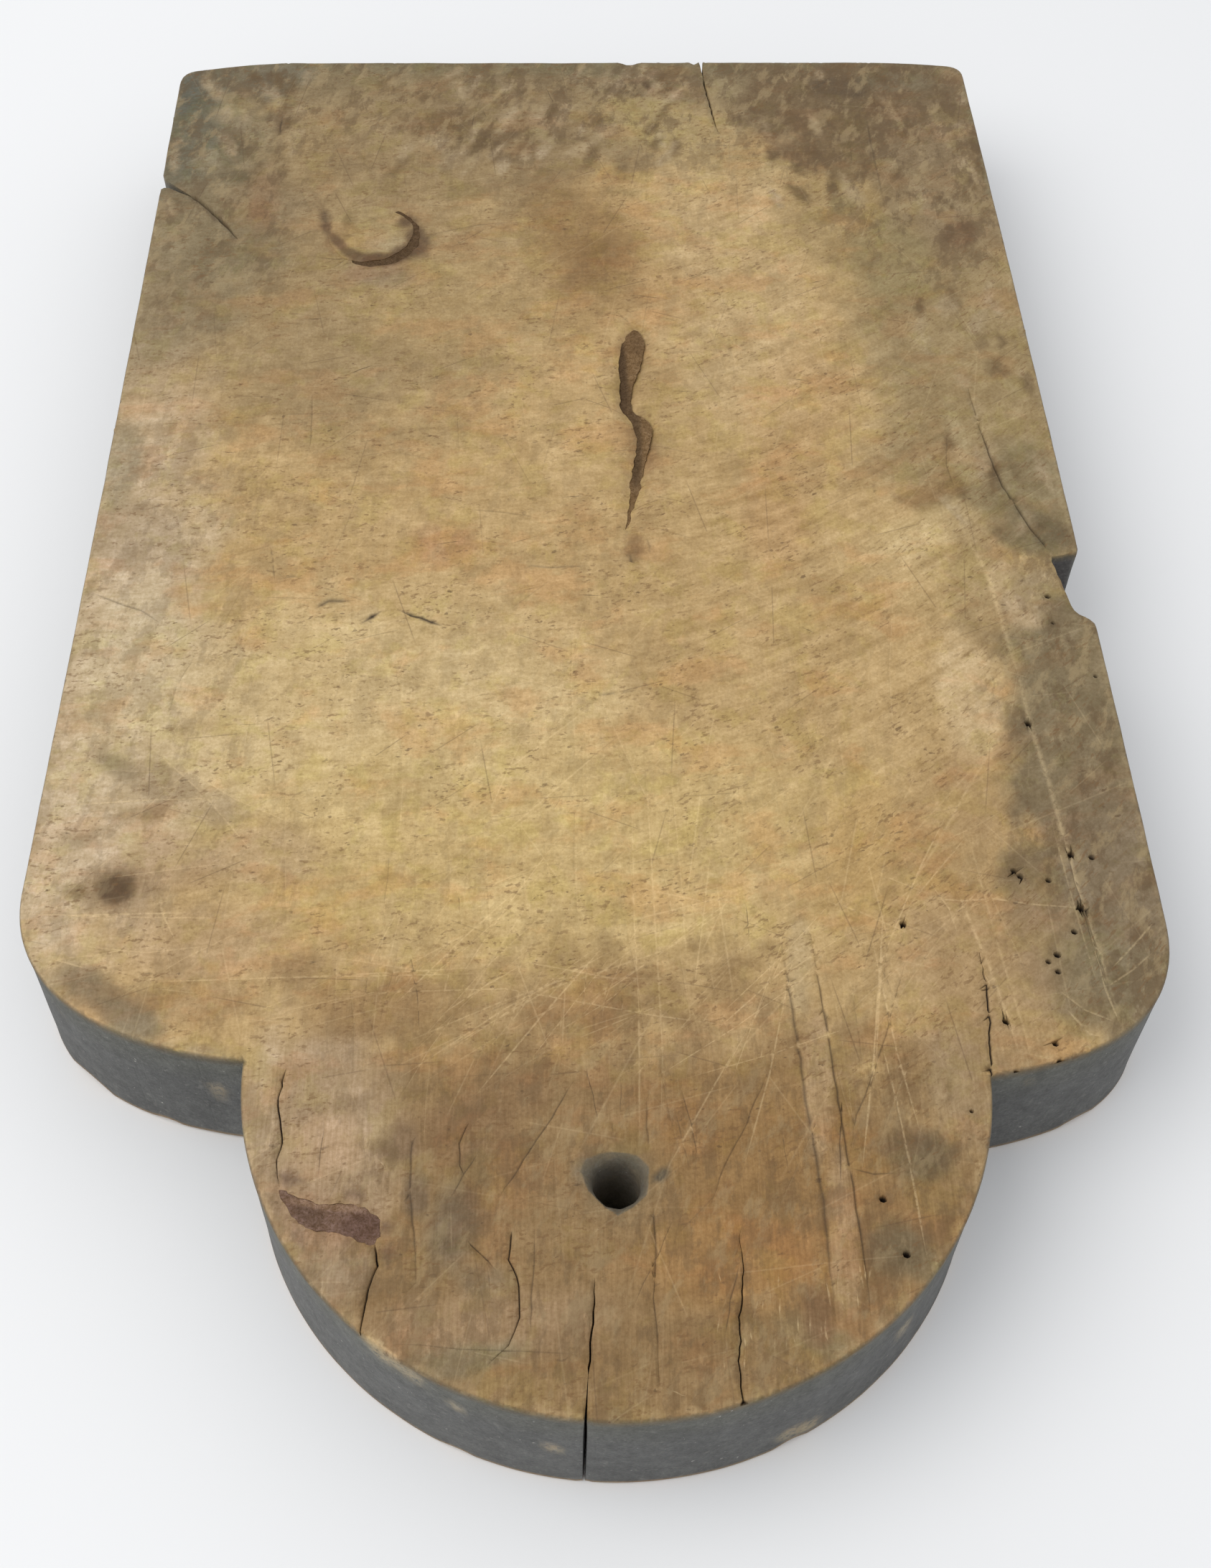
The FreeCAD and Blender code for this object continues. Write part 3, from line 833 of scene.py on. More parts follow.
def new_piece(name, points, polygons):
    """A smooth-shaded mesh object from points in millimetres."""
    mesh = bpy.data.meshes.new(name)
    mesh.from_pydata([(x * MM, y * MM, z * MM) for x, y, z in points], [], polygons)
    mesh.update()
    mesh.polygons.foreach_set("use_smooth", [True] * len(mesh.polygons))
    mesh.set_sharp_from_angle(angle=math.radians(48))
    return placed(name, mesh)


def give_values(mesh, name, values):
    mesh.attributes.new(name, "FLOAT", "POINT").data.foreach_set("value", np.asarray(values, np.float32))


plank = new_piece("plank", verts, faces)
give_values(plank.data, "on_top", is_top)


# The marks and beetle holes are carved by two node trees that read where they run.
def guide(name, flat, heights, links, values):
    """An object of bare points or lines on the face, with its values, for a carving tree to read."""
    mesh = bpy.data.meshes.new(name)
    mesh.from_pydata([(x * MM, y * MM, z * MM) for (x, y), z in zip(flat, heights)], links, [])
    for value_name, numbers in values.items():
        give_values(mesh, value_name, numbers)
    return placed(name, mesh)


mark_flat = np.array(mark_points)
mark_heights = face_height(mark_flat) - worn_drop(mark_flat, top_wear)
mark_guide = guide("mark lines", mark_flat, mark_heights, mark_links, mark_values)
hole_flat = np.array([(x, y) for x, y, _ in beetle_holes])
hole_guide = guide("beetle holes", hole_flat, face_height(hole_flat), [], {
    "half_width": [radius * hole_spread * MM for _, _, radius in beetle_holes],
    "depth": [beetle_depth * MM] * len(beetle_holes),
    "tone": [1.0] * len(beetle_holes),
})


def carving_tree(name, target, wall):
    """Presses the face down near a guide's edges or points and notes how dark or pale it gets
    there; the dark is painted shade in the grooves and holes. wall is the share of the half width that the
    sloping wall takes."""
    tree = bpy.data.node_groups.new(name, "GeometryNodeTree")
    for socket, kind in (("Geometry", "Geometry"), ("Guide", "Object"), ("Depth Scale", "Float"),
                         ("Finish", "Material")):
        tree.interface.new_socket(socket, in_out="INPUT", socket_type="NodeSocket" + kind)
    tree.interface.new_socket("Geometry", in_out="OUTPUT", socket_type="NodeSocketGeometry")
    link = tree.links.new

    def node(kind, inputs, output=0, **settings):
        """What a new node gives for its inputs."""
        made = tree.nodes.new(kind)
        for setting_name, setting in settings.items():
            setattr(made, setting_name, setting)
        for socket, value in inputs.items():
            if isinstance(value, (int, float, str)):
                made.inputs[socket].default_value = value
            else:
                link(value, made.inputs[socket])
        return made.outputs[output]

    def sum_of(operation, first, second):
        return node("ShaderNodeMath", {0: first, 1: second}, operation=operation)

    def own(value_name):
        """A value that the piece itself holds."""
        return node("GeometryNodeInputNamedAttribute", {"Name": value_name}, "Attribute", data_type="FLOAT")

    start = tree.nodes.new("NodeGroupInput").outputs
    lines = node("GeometryNodeObjectInfo", {"Object": start["Guide"]}, "Geometry")
    away = node("GeometryNodeProximity", {0: lines}, "Distance", target_element=target)
    nearest = node("GeometryNodeSampleNearest", {"Geometry": lines}, "Index")

    def read(value_name):
        """A value that the guide holds where it is nearest."""
        inputs = {"Geometry": lines, "Value": own(value_name), "Index": nearest}
        return node("GeometryNodeSampleIndex", inputs, "Value")

    half_width = read("half_width")
    share = sum_of("DIVIDE", sum_of("SUBTRACT", half_width, away), sum_of("MULTIPLY", half_width, wall))
    share = sum_of("MINIMUM", sum_of("MAXIMUM", share, 0.0), 1.0)
    share = sum_of("MULTIPLY", share, own("on_top"))
    down = sum_of("MULTIPLY", sum_of("MULTIPLY", read("depth"), start["Depth Scale"]), share)
    offset = node("ShaderNodeCombineXYZ", {"Z": sum_of("MULTIPLY", down, -1.0)})
    tone = sum_of("MULTIPLY", read("tone"), share)
    shape = start["Geometry"]
    for kind, sign in (("crease", 1.0), ("scar", -1.0)):
        value = sum_of("MAXIMUM", sum_of("MULTIPLY", tone, sign), 0.0)
        inputs = {"Name": kind, "Geometry": shape, "Value": sum_of("MAXIMUM", value, own(kind))}
        shape = node("GeometryNodeStoreNamedAttribute", inputs, data_type="FLOAT", domain="POINT")
    shape = node("GeometryNodeSetPosition", {"Geometry": shape, "Offset": offset})
    shape = node("GeometryNodeRealizeInstances", {"Geometry": shape})
    shape = node("GeometryNodeSetMaterial", {"Geometry": shape, "Material": start["Finish"]})
    link(shape, tree.nodes.new("NodeGroupOutput").inputs["Geometry"])
    return tree


def carve(piece, tree, guide, depth_scale, finish):
    """Runs a carving tree on the piece and keeps the result as its plain mesh."""
    modifier = piece.modifiers.new(tree.name, "NODES")
    modifier.node_group = tree
    sockets = {item.name: item.identifier for item in tree.interface.items_tree if item.in_out == "INPUT"}
    modifier[sockets["Guide"]] = guide
    modifier[sockets["Depth Scale"]] = depth_scale
    modifier[sockets["Finish"]] = finish
    bpy.context.view_layer.update()
    evaluated = piece.evaluated_get(bpy.context.evaluated_depsgraph_get())
    carved = bpy.data.meshes.new_from_object(evaluated)
    piece.modifiers.remove(modifier)
    piece.data = carved
    bpy.data.objects.remove(guide)


# What stains and wears the face, laid one over another from the first down: (x, y, half width,
# half length, turn in degrees, colour, strength, softness of the edge). Colours are 0 to 255.
bare_wood = (188, 157, 107)
stains = [
    (0, 235, 190, 66, 0, (132, 114, 82), 1.0, 0.6),
    (-30, 182, 62, 34, 4, (144, 121, 84), 0.8, 0.5),
    (-75, 120, 66, 84, 0, (154, 130, 91), 0.85, 0.7),
    (-40, 105, 30, 26, 0, (176, 148, 100), 0.7, 0.7),
    (45, 112, 30, 62, 0, (192, 163, 116), 0.85, 0.6),
    (20, 190, 26, 14, -8, (170, 147, 101), 0.8, 0.5),
    (48, 180, 26, 22, 0, (172, 148, 102), 0.7, 0.6),
    (108, 84, 34, 100, 0, (152, 130, 90), 0.9, 0.6),
    (84, 140, 24, 40, 0, (158, 133, 88), 0.8, 0.6),
    (0, 219, 130, 7, 0, (118, 106, 76), 0.7, 0.6),
    (92, 196, 44, 27, -8, (113, 93, 64), 0.95, 0.25),
    (76, 180, 15, 16, -30, (118, 96, 64), 0.9, 0.3),
    (84, 168, 10, 10, 0, (126, 104, 70), 0.8, 0.35),
    (62, 196, 14, 12, 0, (116, 95, 64), 0.8, 0.35),
    (114, 160, 26, 44, 0, (136, 115, 83), 0.8, 0.5),
    (113, 134, 6, 7, -20, (110, 85, 56), 0.85, 0.5),
    (108, 126, 5, 6, 0, (126, 103, 70), 0.6, 0.7),
    (112, 148, 10, 4, 20, (152, 132, 98), 0.6, 0.6),
    (80, 148, 5, 5, 0, (134, 117, 74), 0.7, 0.5),
    (92, 122, 14, 22, 0, (142, 125, 84), 0.7, 0.6),
    (85, 207, 12, 6, 0, (94, 76, 52), 0.8, 0.5),
    (104, 210, 14, 6, 0, (118, 106, 80), 0.6, 0.6),
    (99.5, 193, 16, 1.5, -74, (150, 131, 98), 0.75, 0.8),
    (110, 190, 12, 1.2, 60, (140, 120, 88), 0.6, 0.8),
    (66, 181, 8, 1.3, 32, (160, 137, 98), 0.7, 0.8),
    (60, 174, 6, 1.2, 60, (160, 137, 98), 0.6, 0.8),
    (99, 166, 8, 1.4, -38, (156, 137, 102), 0.7, 0.8),
    (98, 147, 11, 1.3, 26, (162, 142, 104), 0.7, 0.8),
    (18, 206, 9, 4.5, 0, (92, 72, 44), 0.95, 0.35),
    (-38, 190, 12, 6, 12, (106, 84, 52), 0.9, 0.35),
    (-26, 181, 6, 7, -20, (102, 80, 50), 0.9, 0.4),
    (-23, 171, 4, 5, -10, (120, 97, 65), 0.8, 0.4),
    (-13, 174, 5, 4, 20, (124, 99, 66), 0.7, 0.4),
    (-49, 187, 6, 5, 0, (126, 103, 70), 0.7, 0.4),
    (-18, 202, 5, 6, 0, (114, 94, 66), 0.75, 0.4),
    (-29, 207, 8, 6, 0, (116, 100, 72), 0.7, 0.5),
    (-9, 208, 5, 7, 20, (112, 94, 64), 0.7, 0.45),
    (3, 188, 5, 4, 30, (134, 110, 70), 0.7, 0.5),
    (-20, 193, 15, 1.3, 60, (170, 148, 106), 0.7, 0.8),
    (-11, 200, 15, 1.2, 67, (162, 140, 98), 0.65, 0.8),
    (-28, 190, 10, 1.2, 52, (160, 138, 100), 0.6, 0.8),
    (-3, 191, 12, 1.4, 60, (168, 146, 102), 0.65, 0.8),
    (3, 210, 7, 1.0, 75, (166, 147, 108), 0.7, 0.8),
    (-32, 172, 9, 1.3, 72, (164, 143, 102), 0.65, 0.8),
    (-19, 177, 9, 1.2, 66, (168, 146, 104), 0.7, 0.8),
    (-38, 206, 2.4, 5.5, 4, (168, 149, 112), 0.8, 0.6),
    (-33, 201, 2.2, 2.4, 0, (160, 140, 106), 0.6, 0.6),
    (-36, 200, 1.0, 12, -4, (144, 126, 92), 0.6, 0.8),
    (46, 206, 8, 6, 0, (156, 137, 100), 0.7, 0.5),
    (28, 215, 12, 4, 0, (132, 112, 76), 0.6, 0.5),
    (-35, 154, 7, 5, 0, (140, 119, 74), 0.6, 0.5),
    (14, 154, 6, 2, 0, (150, 128, 82), 0.6, 0.5),
    (-112, 158, 30, 64, 0, (124, 109, 80), 0.85, 0.5),
    (-92, 152, 16, 20, 0, (142, 119, 85), 0.6, 0.6),
    (-126, 96, 18, 34, 0, (138, 120, 89), 0.85, 0.5),
    (-124, 192, 18, 40, 0, (104, 98, 78), 0.9, 0.6),
    (-126, 206, 9, 16, 0, (94, 92, 78), 0.85, 0.6),
    (-100, 213, 16, 9, 0, (112, 102, 80), 0.8, 0.5),
    (-97, 206, 7, 9, 0, (103, 91, 69), 0.75, 0.5),
    (-108, 191, 8, 6, -35, (148, 132, 102), 0.8, 0.5),
    (-113, 169, 6, 6, -40, (146, 131, 101), 0.8, 0.5),
    (-106, 173, 5, 7, 0, (104, 92, 66), 0.8, 0.7),
    (-105, 161, 6, 4, 0, (108, 95, 68), 0.75, 0.7),
    (-92, 190, 3.5, 9, 0, (112, 90, 62), 0.8, 0.5),
    (-84, 172, 13, 20, 0, (150, 126, 86), 0.7, 0.6),
    (-95, 152, 5, 18, 0, (136, 107, 74), 0.6, 0.6),
    (-107, 127, 5, 4.5, 0, (114, 96, 66), 0.85, 0.5),
    (-120, 132, 8, 8, 0, (144, 127, 94), 0.6, 0.6),
    (-58, 116, 11, 7, 0, (146, 124, 96), 0.7, 0.7),
    (4, 127, 19, 38, 8, (146, 115, 71), 0.85, 1.0),
    (24, 106, 12, 17, 0, (180, 143, 93), 0.5, 0.9),
    (60, 60, 16, 34, -10, (188, 152, 104), 0.45, 0.9),
    (-6, 148, 9, 9, 0, (146, 118, 74), 0.7, 0.7),
    (4, 122, 9, 14, -10, (134, 103, 62), 0.7, 0.7),
    (17, 50, 9, 50, 0, (168, 138, 92), 0.6, 0.8),
    (14.6, 84, 5, 11, 0, (140, 112, 74), 0.6, 0.8),
    (11.4, 68, 3, 12, 0, (136, 108, 70), 0.5, 0.8),
    (16, 46, 4, 13, 0, (134, 106, 70), 0.6, 0.8),
    (12.2, 8, 3, 6, -8, (136, 108, 70), 0.8, 0.7),
    (-118, 50, 22, 34, 0, (186, 160, 125), 0.7, 0.6),
    (-122, -40, 30, 100, 0, (196, 173, 140), 0.9, 0.55),
    (-112, -26, 15, 26, 0, (206, 186, 149), 0.7, 0.6),
    (-98, -50, 26, 40, 0, (198, 175, 136), 0.6, 0.6),
    (-120, 14, 13, 12, 0, (168, 145, 113), 0.8, 0.6),
    (-124, 40, 6, 18, 0, (150, 136, 106), 0.6, 0.6),
    (-50, -45, 60, 40, 0, (207, 181, 131), 0.75, 0.7),
    (-5, -84, 80, 36, 0, (203, 175, 118), 0.75, 0.7),
    (-38, 10, 9, 8, 0, (184, 144, 102), 0.6, 0.7),
    (50, 20, 10, 22, 0, (186, 148, 100), 0.6, 0.7),
    (84, 4, 20, 18, 0, (196, 168, 118), 0.6, 0.6),
    (90, 14, 18, 8, 25, (204, 178, 128), 0.6, 0.6),
    (94, -44, 9, 26, 0, (204, 177, 134), 0.75, 0.6),
    (66, -90, 18, 22, 0, (186, 151, 95), 0.7, 0.7),
    (90, -72, 7, 14, 0, (190, 156, 116), 0.7, 0.6),
    (88, -100, 18, 46, 0, (172, 141, 95), 0.75, 0.6),
    (102, -4, 10, 26, 0, (166, 140, 97), 0.8, 0.5),
    (98, 30, 8, 4, 20, (140, 117, 76), 0.7, 0.5),
    (88, 25, 6, 4, 0, (146, 120, 78), 0.7, 0.5),
    (102, 46, 3, 20, 4, (172, 152, 112), 0.7, 0.6),
    (126, -48, 24, 46, 0, (126, 110, 80), 1.0, 0.4),
    (114, -66, 17, 22, 0, (126, 109, 79), 0.95, 0.45),
    (121, -104, 24, 40, 0, (127, 109, 82), 1.0, 0.45),
    (100, -96, 7, 10, 0, (130, 110, 78), 0.8, 0.6),
    (102, -112, 10, 18, 0, (142, 119, 86), 0.8, 0.6),
    (101, -116, 5, 14, 0, (158, 130, 96), 0.6, 0.6),
    (124, -28, 8, 14, 0, (138, 120, 88), 0.6, 0.6),
    (112, -13, 7, 8, 0, (184, 158, 120), 0.85, 0.45),
    (107, -3, 4, 7, 0, (184, 158, 116), 0.8, 0.5),
    (117, -3, 3.5, 3.5, 0, (186, 163, 124), 0.75, 0.5),
    (118, -15, 4, 6, 0, (120, 102, 74), 0.6, 0.5),
    (113, -54, 2.4, 2.2, 0, (168, 150, 114), 0.8, 0.6),
    (120, 26, 14, 22, 0, (136, 121, 88), 0.8, 0.5),
    (120, 14, 13, 6, -40, (100, 86, 60), 0.75, 0.8),
    (113, 11, 9, 5, -38, (116, 101, 70), 0.8, 0.7),
    (108, 24, 9, 6, -35, (124, 107, 72), 0.6, 0.8),
    (4, -196, 116, 74, 0, (143, 114, 74), 1.0, 0.45),
    (-62, -162, 22, 34, 0, (168, 142, 110), 0.85, 0.5),
    (-71, -150, 4, 24, -6, (188, 162, 126), 0.7, 0.6),
    (-58, -161, 9, 8, 0, (186, 154, 118), 0.7, 0.6),
    (-28, -158, 10, 9, 0, (134, 104, 69), 0.8, 0.5),
    (-18, -150, 9, 6, 0, (136, 106, 70), 0.7, 0.5),
    (-50, -128, 20, 8, 10, (148, 116, 74), 0.8, 0.8),
    (-64, -120, 8, 6, 0, (152, 122, 82), 0.6, 0.8),
    (-88, -126, 14, 7, 0, (158, 128, 88), 0.6, 0.8),
    (-30, -180, 6, 11, -10, (106, 90, 68), 0.75, 0.8),
    (-38, -173, 3, 6, 0, (118, 97, 72), 0.8, 0.5),
    (-26, -168, 3, 8, 0, (128, 103, 72), 0.7, 0.6),
    (-24, -192, 6, 4, 0, (120, 104, 78), 0.6, 0.8),
    (-42, -161, 5, 5, 0, (122, 97, 69), 0.7, 0.5),
    (-24, -202, 28, 9, 0, (162, 133, 100), 0.6, 0.8),
    (-54, -190, 9, 10, -30, (156, 134, 106), 0.7, 0.6),
    (-30, -209, 17, 3.5, 14, (130, 117, 86), 0.7, 0.5),
    (44, -205, 13, 3.5, -28, (138, 124, 90), 0.75, 0.5),
    (64, -188, 9, 4, -50, (126, 112, 82), 0.7, 0.5),
    (30, -158, 26, 20, 0, (152, 118, 72), 0.6, 0.6),
    (40, -176, 30, 26, 0, (146, 111, 65), 0.7, 0.6),
    (26, -188, 20, 12, 0, (160, 120, 70), 0.6, 0.6),
    (67, -165, 9, 7, 0, (106, 90, 64), 0.8, 0.7),
    (60, -186, 8, 7, 0, (108, 92, 65), 0.8, 0.7),
    (43, -200, 3.5, 7, 0, (118, 88, 58), 0.7, 0.6),
    (77, -140, 6, 8, 0, (172, 146, 114), 0.7, 0.6),
    (80, -152, 10, 14, 0, (158, 133, 98), 0.7, 0.6),
    (45.6, -118, 3.0, 14, -4, (184, 158, 114), 0.8, 0.3),
    (47.4, -148, 3.3, 20, -4, (172, 142, 102), 0.85, 0.25),
    (49.6, -182, 3.2, 20, -2, (164, 134, 96), 0.85, 0.25),
    (113, -122, 14, 16, 0, (124, 110, 80), 0.6, 0.6),
    (-104, -66, 10, 7, -22, (164, 140, 105), 0.65, 0.6),
    (-113, -62, 8, 3.2, -38, (138, 120, 90), 0.7, 0.9),
    (-105, -76, 8, 2.6, 10, (144, 120, 84), 0.65, 0.9),
    (-118, -83, 5, 2.6, 30, (144, 124, 92), 0.6, 0.9),
    (-92, -73, 12, 5, -20, (172, 148, 112), 0.6, 0.6),
    (-98, -90, 14, 9, 0, (178, 148, 113), 0.65, 0.6),
    (-109, -97, 10, 8, 0, (156, 130, 96), 0.75, 0.6),
    (-109, -97, 4.6, 4.6, 0, (86, 65, 42), 0.95, 0.5),
    (-117.5, -98, 3, 2.4, 0, (128, 106, 76), 0.7, 0.6),
    (-76, -88, 14, 10, 0, (178, 150, 111), 0.6, 0.6),
    (-112, -123, 9, 5, -36, (130, 116, 90), 0.7, 0.8),
    (-102, -131, 9, 4.5, -30, (118, 106, 84), 0.75, 0.8),
    (-3.4, -168, 2.6, 4.5, -20, (122, 106, 82), 0.75, 0.7),
    (-92, -112, 28, 12, 0, (180, 150, 113), 0.55, 0.8),
    (-107, -126, 15, 5, -36, (134, 116, 86), 0.7, 0.8),
    (-20, 192, 30, 24, -14, (130, 108, 75), 0.5, 0.6),
    (84, -122, 20, 24, 0, (172, 142, 102), 0.6, 0.8),
    (3.5, -170.5, 10, 10, 0, (126, 109, 80), 0.5, 0.6),
    (12.9, -169.4, 2.1, 1.6, 45, (84, 74, 58), 0.95, 0.6),
    (-64, -169.4, 3, 1.4, -20, (112, 88, 68), 0.8, 0.7),
    (-52, -172.8, 4, 1.2, -6, (120, 94, 72), 0.7, 0.8),
    (-43.8, -180.6, 1.6, 1.8, 0, (108, 84, 64), 0.8, 0.7),
    (-43.6, -186.6, 1.4, 2.6, 0, (112, 88, 66), 0.7, 0.7),
    (-62, -181.6, 4, 1.6, -40, (150, 124, 98), 0.7, 0.8),
]
bark_stains = [
    (-48.2, 131, 4.2, 8, 8, (90, 67, 42), 0.95, 0.75),
    (-51.8, 125.4, 5.2, 4.2, 35, (90, 67, 42), 0.95, 0.75),
    (-59, 122.6, 8, 3.4, 0, (92, 69, 44), 0.9, 0.75),
    (-66.5, 124.6, 5.5, 2.4, -38, (104, 80, 54), 0.85, 0.75),
    (-71.6, 130.6, 6, 1.9, -56, (108, 84, 56), 0.85, 0.75),
    (-75.8, 140, 1.9, 7, 8, (98, 76, 50), 0.9, 0.8),
    (-51, 140.4, 3.0, 3.2, 20, (102, 78, 50), 0.85, 0.7),
    (-56, -178, 13, 5.5, -16, (150, 118, 88), 0.5, 0.7),
]


def streaks_in(count, x, y, lean, seed):
    """Short streaks where dirt was scrubbed along the grain, some darker and some paler."""
    draw = random.Random(seed)
    streaks = []
    for _ in range(count):
        shade = draw.choice(((98, 77, 46), (106, 84, 52), (170, 149, 116), (176, 155, 122)))
        streaks.append((draw.uniform(*x), draw.uniform(*y), draw.uniform(1.2, 2.4), draw.uniform(3, 9),
                        draw.gauss(lean, 14), shade, draw.uniform(0.35, 0.8), 0.6))
    return streaks


for where in (
    (70, (-62, 34), (164, 215), -22, 31),
    (34, (58, 125), (148, 214), 8, 32),
    (22, (-124, -86), (140, 212), 10, 33),
    (30, (96, 126), (16, 110), 0, 34),
):
    stains += streaks_in(*where)
stains += bark_stains


def painted(flat, wood, patches, seed):
    """The colour of the wood at each point, 0 to 255, with ragged-edged patches laid on it."""
    ragged = 0.9 * (swell(flat, 26, seed) - 0.5) + 0.7 * (swell(flat, 9, seed + 1) - 0.5)
    ragged += 0.5 * (swell(flat, 3.5, seed + 2) - 0.5)
    colour = np.tile(np.array(wood, float), (len(flat), 1))
    for x, y, half_width, half_length, turn, shade, strength, softness in patches:
        turn = math.radians(turn)
        along = (flat[:, 0] - x) * math.cos(turn) + (flat[:, 1] - y) * math.sin(turn)
        across = -(flat[:, 0] - x) * math.sin(turn) + (flat[:, 1] - y) * math.cos(turn)
        reach = math.sqrt(half_width * half_length)
        loose = min(1.0, reach / 12)
        out = np.sqrt((along / half_width) ** 2 + (across / half_length) ** 2) + ragged * 0.5 * loose
        share = np.clip((1.0 + softness * 0.3 - out) / softness, 0, 1)
        share = (share * share * (3 - 2 * share) * strength)[:, None]
        colour = colour * (1 - share) + np.array(shade, float) * share
    return colour


def linear(colour):
    """A 0 to 255 colour as the light values that a shader takes."""
    colour = np.asarray(colour, float) / 255
    return np.where(colour <= 0.04045, colour / 12.92, ((colour + 0.055) / 1.055) ** 2.4)


# Where the face is grimy (first number), scratched (second) and scored on the slant (third),
# laid one over another like the stains.
wear_of_face = [
    (0, 235, 190, 72, 0, (255, 40, 30), 1.0, 0.6),
    (-112, 160, 34, 70, 0, (230, 40, 30), 1.0, 0.6),
    (105, 180, 40, 70, 0, (255, 60, 40), 1.0, 0.6),
    (70, 10, 60, 85, 0, (50, 90, 255), 1.0, 0.6),
    (0, -105, 95, 60, 0, (70, 255, 90), 1.0, 0.6),
    (-112, -40, 34, 110, 0, (130, 110, 20), 0.9, 0.6),
    (124, -65, 26, 92, 0, (255, 120, 60), 1.0, 0.6),
    (4, -192, 112, 62, 0, (170, 130, 30), 1.0, 0.6),
]


def give_colours(mesh, name, colours):
    full = np.ones((len(colours), 4), np.float32)
    full[:, :3] = colours
    mesh.attributes.new(name, "FLOAT_COLOR", "POINT").data.foreach_set("color", full.ravel())


verts_array = np.array(verts)
flat = verts_array[:, :2]
tone = painted(flat, bare_wood, stains, 20.0)
feel = painted(flat, (70, 90, 60), wear_of_face, 30.0)
under_stains = [(0, 0, 90, 150, 0, (158, 132, 96), 0.8, 0.6)]
tone[len(top_flat):side_start] = painted(under_flat, (146, 122, 90), under_stains, 50.0)
feel[len(top_flat):side_start] = (120, 30, 0)
side_flat = verts_array[side_start:side_stop]
grey = np.tile(np.array((91, 91, 89), float), (len(side_flat), 1))
grey[:, 2] -= 6 * np.clip((side_flat[:, 2] - 24) / 14, 0, 1)
# Painted light: the lobe's side wall is made up to 12 per cent lighter towards its left, where the lamp on
# the left falls on it.
grey *= 1 + 0.12 * np.clip(-side_flat[:, :1] / 80, 0, 1) * (side_flat[:, 1:2] < -140)
mottle = np.array([noise.noise((x / 9, y / 9, z / 14)) for x, y, z in side_flat])[:, None]
grey = grey * (1 + 0.07 * mottle)
tone[side_start:side_stop] = grey
# The colour of the hole's wall at five depths below the face, as red, green and blue.
below = thickness - verts_array[side_stop:hole_stop, 2]
for channel, values in enumerate(((106, 92, 92, 108, 130), (95, 86, 87, 101, 122), (76, 74, 76, 90, 106))):
    tone[side_stop:hole_stop, channel] = np.interp(below, (0.9, 1.8, 3.4, 8, 18), values)
in_chip = np.array([k for k, cut in enumerate(rim_in_chip) if cut])
for row in range(len(side_shares)):
    tone[side_start + row * len(rim) + in_chip] = (84, 81, 79)
for index, (x, y) in enumerate(top_flat):
    _, nearest, away = rim_tree.find((x, y, 0))
    if away < 3.0 and not rim_is_cut[nearest]:
        worn = 0.7 - abs(away - 0.9) / 1.5 + 1.1 * noise.noise((x / 4, y / 4, 9.0))
        pale = (176, 150, 108) if y < -140 else (164, 144, 108) if y < 150 else (118, 108, 82)
        tone[index] += (np.array(pale) - tone[index]) * 0.6 * held(worn)
        grey_share = max(0.0, 1 - away / 0.5)
        tone[index] += (np.array((110, 98, 76)) - tone[index]) * grey_share
tone[side_start:side_start + len(rim)] = (100, 92, 76)
on_side += [1.0] * (side_stop - side_start) + [0.6] * (hole_stop - side_stop)
give_values(plank.data, "on_side", on_side)
give_values(plank.data, "crease", np.zeros(len(verts)))
# Pale scuffs on the side: (x, y, z, reach).
scuffs = np.zeros(len(verts))
for x, y, z, reach in ((-44, -206, 36, 5.5), (-38, -209, 34, 3.5), (-29, -213, 29, 2.5), (40, -214, 7, 4.0),
                       (44, -211, 5, 3.0), (62, -196, 22, 3.5), (-10, -219, 20, 2.5), (94, -142, 32, 3.0),
                       (112, -134, 26, 3.0), (-84, -140, 22, 3.0), (-118, -122, 30, 2.5)):
    away = np.linalg.norm(verts_array - (x, y, z), axis=1) / reach
    scuffs += 0.7 * np.clip(1.3 - away, 0, 1) * (verts_array[:, 2] < thickness - 0.6)
give_values(plank.data, "scar", scuffs)
give_colours(plank.data, "tone", linear(tone))
give_colours(plank.data, "wear", feel / 255)


